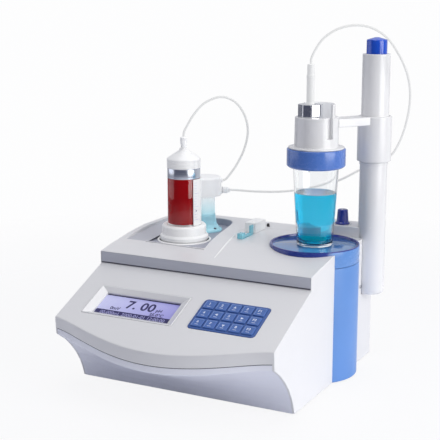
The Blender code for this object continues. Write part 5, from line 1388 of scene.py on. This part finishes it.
def floor_material():
    """Pale sweep: bright to the lens with a faint contact shade, a modest bounce for the object."""
    m = Mat("floor_pale")
    dist = m.tree.nodes.new("ShaderNodeVectorMath")
    dist.operation = "LENGTH"
    m.link(m.coord, dist.inputs[0])
    fade = m.spread(dist.outputs["Value"], 1.0, 0.0, 0.60, 1.25)
    grain = m.spread(m.noise(160.0, 3.0), 0.0, 1.0)
    m.link(m.blend(grain, (0.82, 0.83, 0.885), (0.85, 0.86, 0.91)), m.shader.inputs["Base Color"])
    m.link(m.spread(m.noise(30.0, 3.0), 0.7, 0.85), m.shader.inputs["Roughness"])
    m.set(Specular_IOR_Level=0.1)
    nodes = m.tree.nodes
    glow = nodes.new("ShaderNodeEmission")
    glow.inputs["Color"].default_value = (0.985, 0.985, 0.99, 1)
    part = nodes.new("ShaderNodeMixShader")
    part.inputs[0].default_value = 0.90
    m.link(m.shader.outputs[0], part.inputs[1])
    m.link(glow.outputs[0], part.inputs[2])
    ray = nodes.new("ShaderNodeLightPath")
    most = nodes.new("ShaderNodeMath")
    most.operation = "MAXIMUM"
    sep = nodes.new("ShaderNodeSeparateXYZ")
    m.link(m.coord, sep.inputs["Vector"])
    beyond = nodes.new("ShaderNodeMath")
    beyond.operation = "MULTIPLY"
    m.link(ray.outputs["Is Transmission Ray"], beyond.inputs[0])
    m.link(m.spread(sep.outputs["Y"], 0.0, 1.0, -0.15, 0.05), beyond.inputs[1])
    m.link(ray.outputs["Is Camera Ray"], most.inputs[0])
    m.link(beyond.outputs[0], most.inputs[1])
    pick = nodes.new("ShaderNodeMixShader")
    m.link(most.outputs[0], pick.inputs[0])
    m.link(m.shader.outputs[0], pick.inputs[1])
    m.link(part.outputs[0], pick.inputs[2])
    see = nodes.new("ShaderNodeBsdfTransparent")
    mix = nodes.new("ShaderNodeMixShader")
    m.link(fade, mix.inputs[0])
    m.link(see.outputs[0], mix.inputs[1])
    m.link(pick.outputs[0], mix.inputs[2])
    m.link(mix.outputs[0], nodes["Material Output"].inputs["Surface"])
    return m.mat


bm = bmesh.new()
bmesh.ops.create_circle(bm, cap_ends=True, cap_tris=False, segments=96, radius=1.4)
mesh = bpy.data.meshes.new("floor")
bm.to_mesh(mesh)
bm.free()
mesh.materials.append(floor_material())
floor = bpy.data.objects.new("floor", mesh)
floor.location = (0, 0, -0.0002)
scene.collection.objects.link(floor)


def area(name, at, target, size, power, colour=(1, 1, 1)):
    data = bpy.data.lights.new(name, "AREA")
    data.shape = "RECTANGLE"
    data.size, data.size_y = size
    data.energy = power
    data.color = colour
    obj = bpy.data.objects.new(name, data)
    obj.location = at
    obj.rotation_euler = (Vector(target) - Vector(at)).to_track_quat("-Z", "Y").to_euler()
    scene.collection.objects.link(obj)
    return obj


area("key_right", (1.95, -0.32, 0.75), (0.05, 0.05, 0.22), (1.5, 1.5), 31, (1.0, 0.995, 0.975))
area("top_soft", (0.1, 0.0, 1.9), (0, 0.03, 0.2), (1.5, 1.2), 10.5, (0.99, 0.99, 1.0))
area("fill_left", (-1.85, -0.55, 0.62), (0, 0.05, 0.22), (1.9, 1.3), 8.0, (0.95, 0.96, 1.0))

world = bpy.data.worlds.new("studio")
scene.world = world
world.use_nodes = True
wt = world.node_tree
wt.nodes.clear()
geo = wt.nodes.new("ShaderNodeTexCoord")
sep = wt.nodes.new("ShaderNodeSeparateXYZ")
wt.links.new(geo.outputs["Generated"], sep.inputs[0])


def wrange(socket, a, b, lo, hi):
    n = wt.nodes.new("ShaderNodeMapRange")
    n.interpolation_type = "SMOOTHSTEP"
    n.inputs["From Min"].default_value, n.inputs["From Max"].default_value = a, b
    n.inputs["To Min"].default_value, n.inputs["To Max"].default_value = lo, hi
    wt.links.new(socket, n.inputs["Value"])
    return n.outputs["Result"]


def wmath(op, a, b):
    n = wt.nodes.new("ShaderNodeMath")
    n.operation = op
    for s, v in ((n.inputs[0], a), (n.inputs[1], b)):
        if isinstance(v, bpy.types.NodeSocket):
            wt.links.new(v, s)
        else:
            s.default_value = v
    return n.outputs[0]


behind = wrange(sep.outputs["Y"], 0.0, 0.85, 0.0, 0.48)
above = wrange(sep.outputs["Z"], 0.20, 0.75, 0.0, 0.30)
level = wmath("ADD", wmath("ADD", behind, above), 0.0)
soft = wt.nodes.new("ShaderNodeBackground")
soft.inputs["Color"].default_value = (1, 1, 1, 1)
wt.links.new(level, soft.inputs["Strength"])
base_light = wt.nodes.new("ShaderNodeBackground")
base_light.inputs["Color"].default_value = (0.66, 0.70, 1.0, 1)
base_light.inputs["Strength"].default_value = 0.12
both = wt.nodes.new("ShaderNodeAddShader")
wt.links.new(soft.outputs[0], both.inputs[0])
wt.links.new(base_light.outputs[0], both.inputs[1])
seen = wt.nodes.new("ShaderNodeBackground")
seen.inputs["Color"].default_value = (0.985, 0.985, 0.99, 1)
seen.inputs["Strength"].default_value = 1.0
ray = wt.nodes.new("ShaderNodeLightPath")
pick = wt.nodes.new("ShaderNodeMixShader")
away = wrange(wmath("ADD", wmath("MULTIPLY", sep.outputs["X"], -0.463), wmath("MULTIPLY", sep.outputs["Y"], 0.886)), 0.0, 0.4, 0.0, 1.0)
wt.links.new(wmath("MAXIMUM", ray.outputs["Is Camera Ray"], wmath("MULTIPLY", ray.outputs["Is Transmission Ray"], away)), pick.inputs[0])
wt.links.new(both.outputs[0], pick.inputs[1])
wt.links.new(seen.outputs[0], pick.inputs[2])
out = wt.nodes.new("ShaderNodeOutputWorld")
wt.links.new(pick.outputs[0], out.inputs["Surface"])

cam_data = bpy.data.cameras.new("camera")
cam_data.lens, cam_data.sensor_width = 90.19, 36.0
cam_data.clip_start, cam_data.clip_end = 0.05, 50.0
camera = bpy.data.objects.new("camera", cam_data)
camera.location = (0.7093, -1.37706, 0.5633)
camera.rotation_mode = "QUATERNION"
camera.rotation_quaternion = (Vector((-0.0373, 0.05384, 0.2215)) - camera.location).to_track_quat("-Z", "Y")
scene.collection.objects.link(camera)
scene.camera = camera
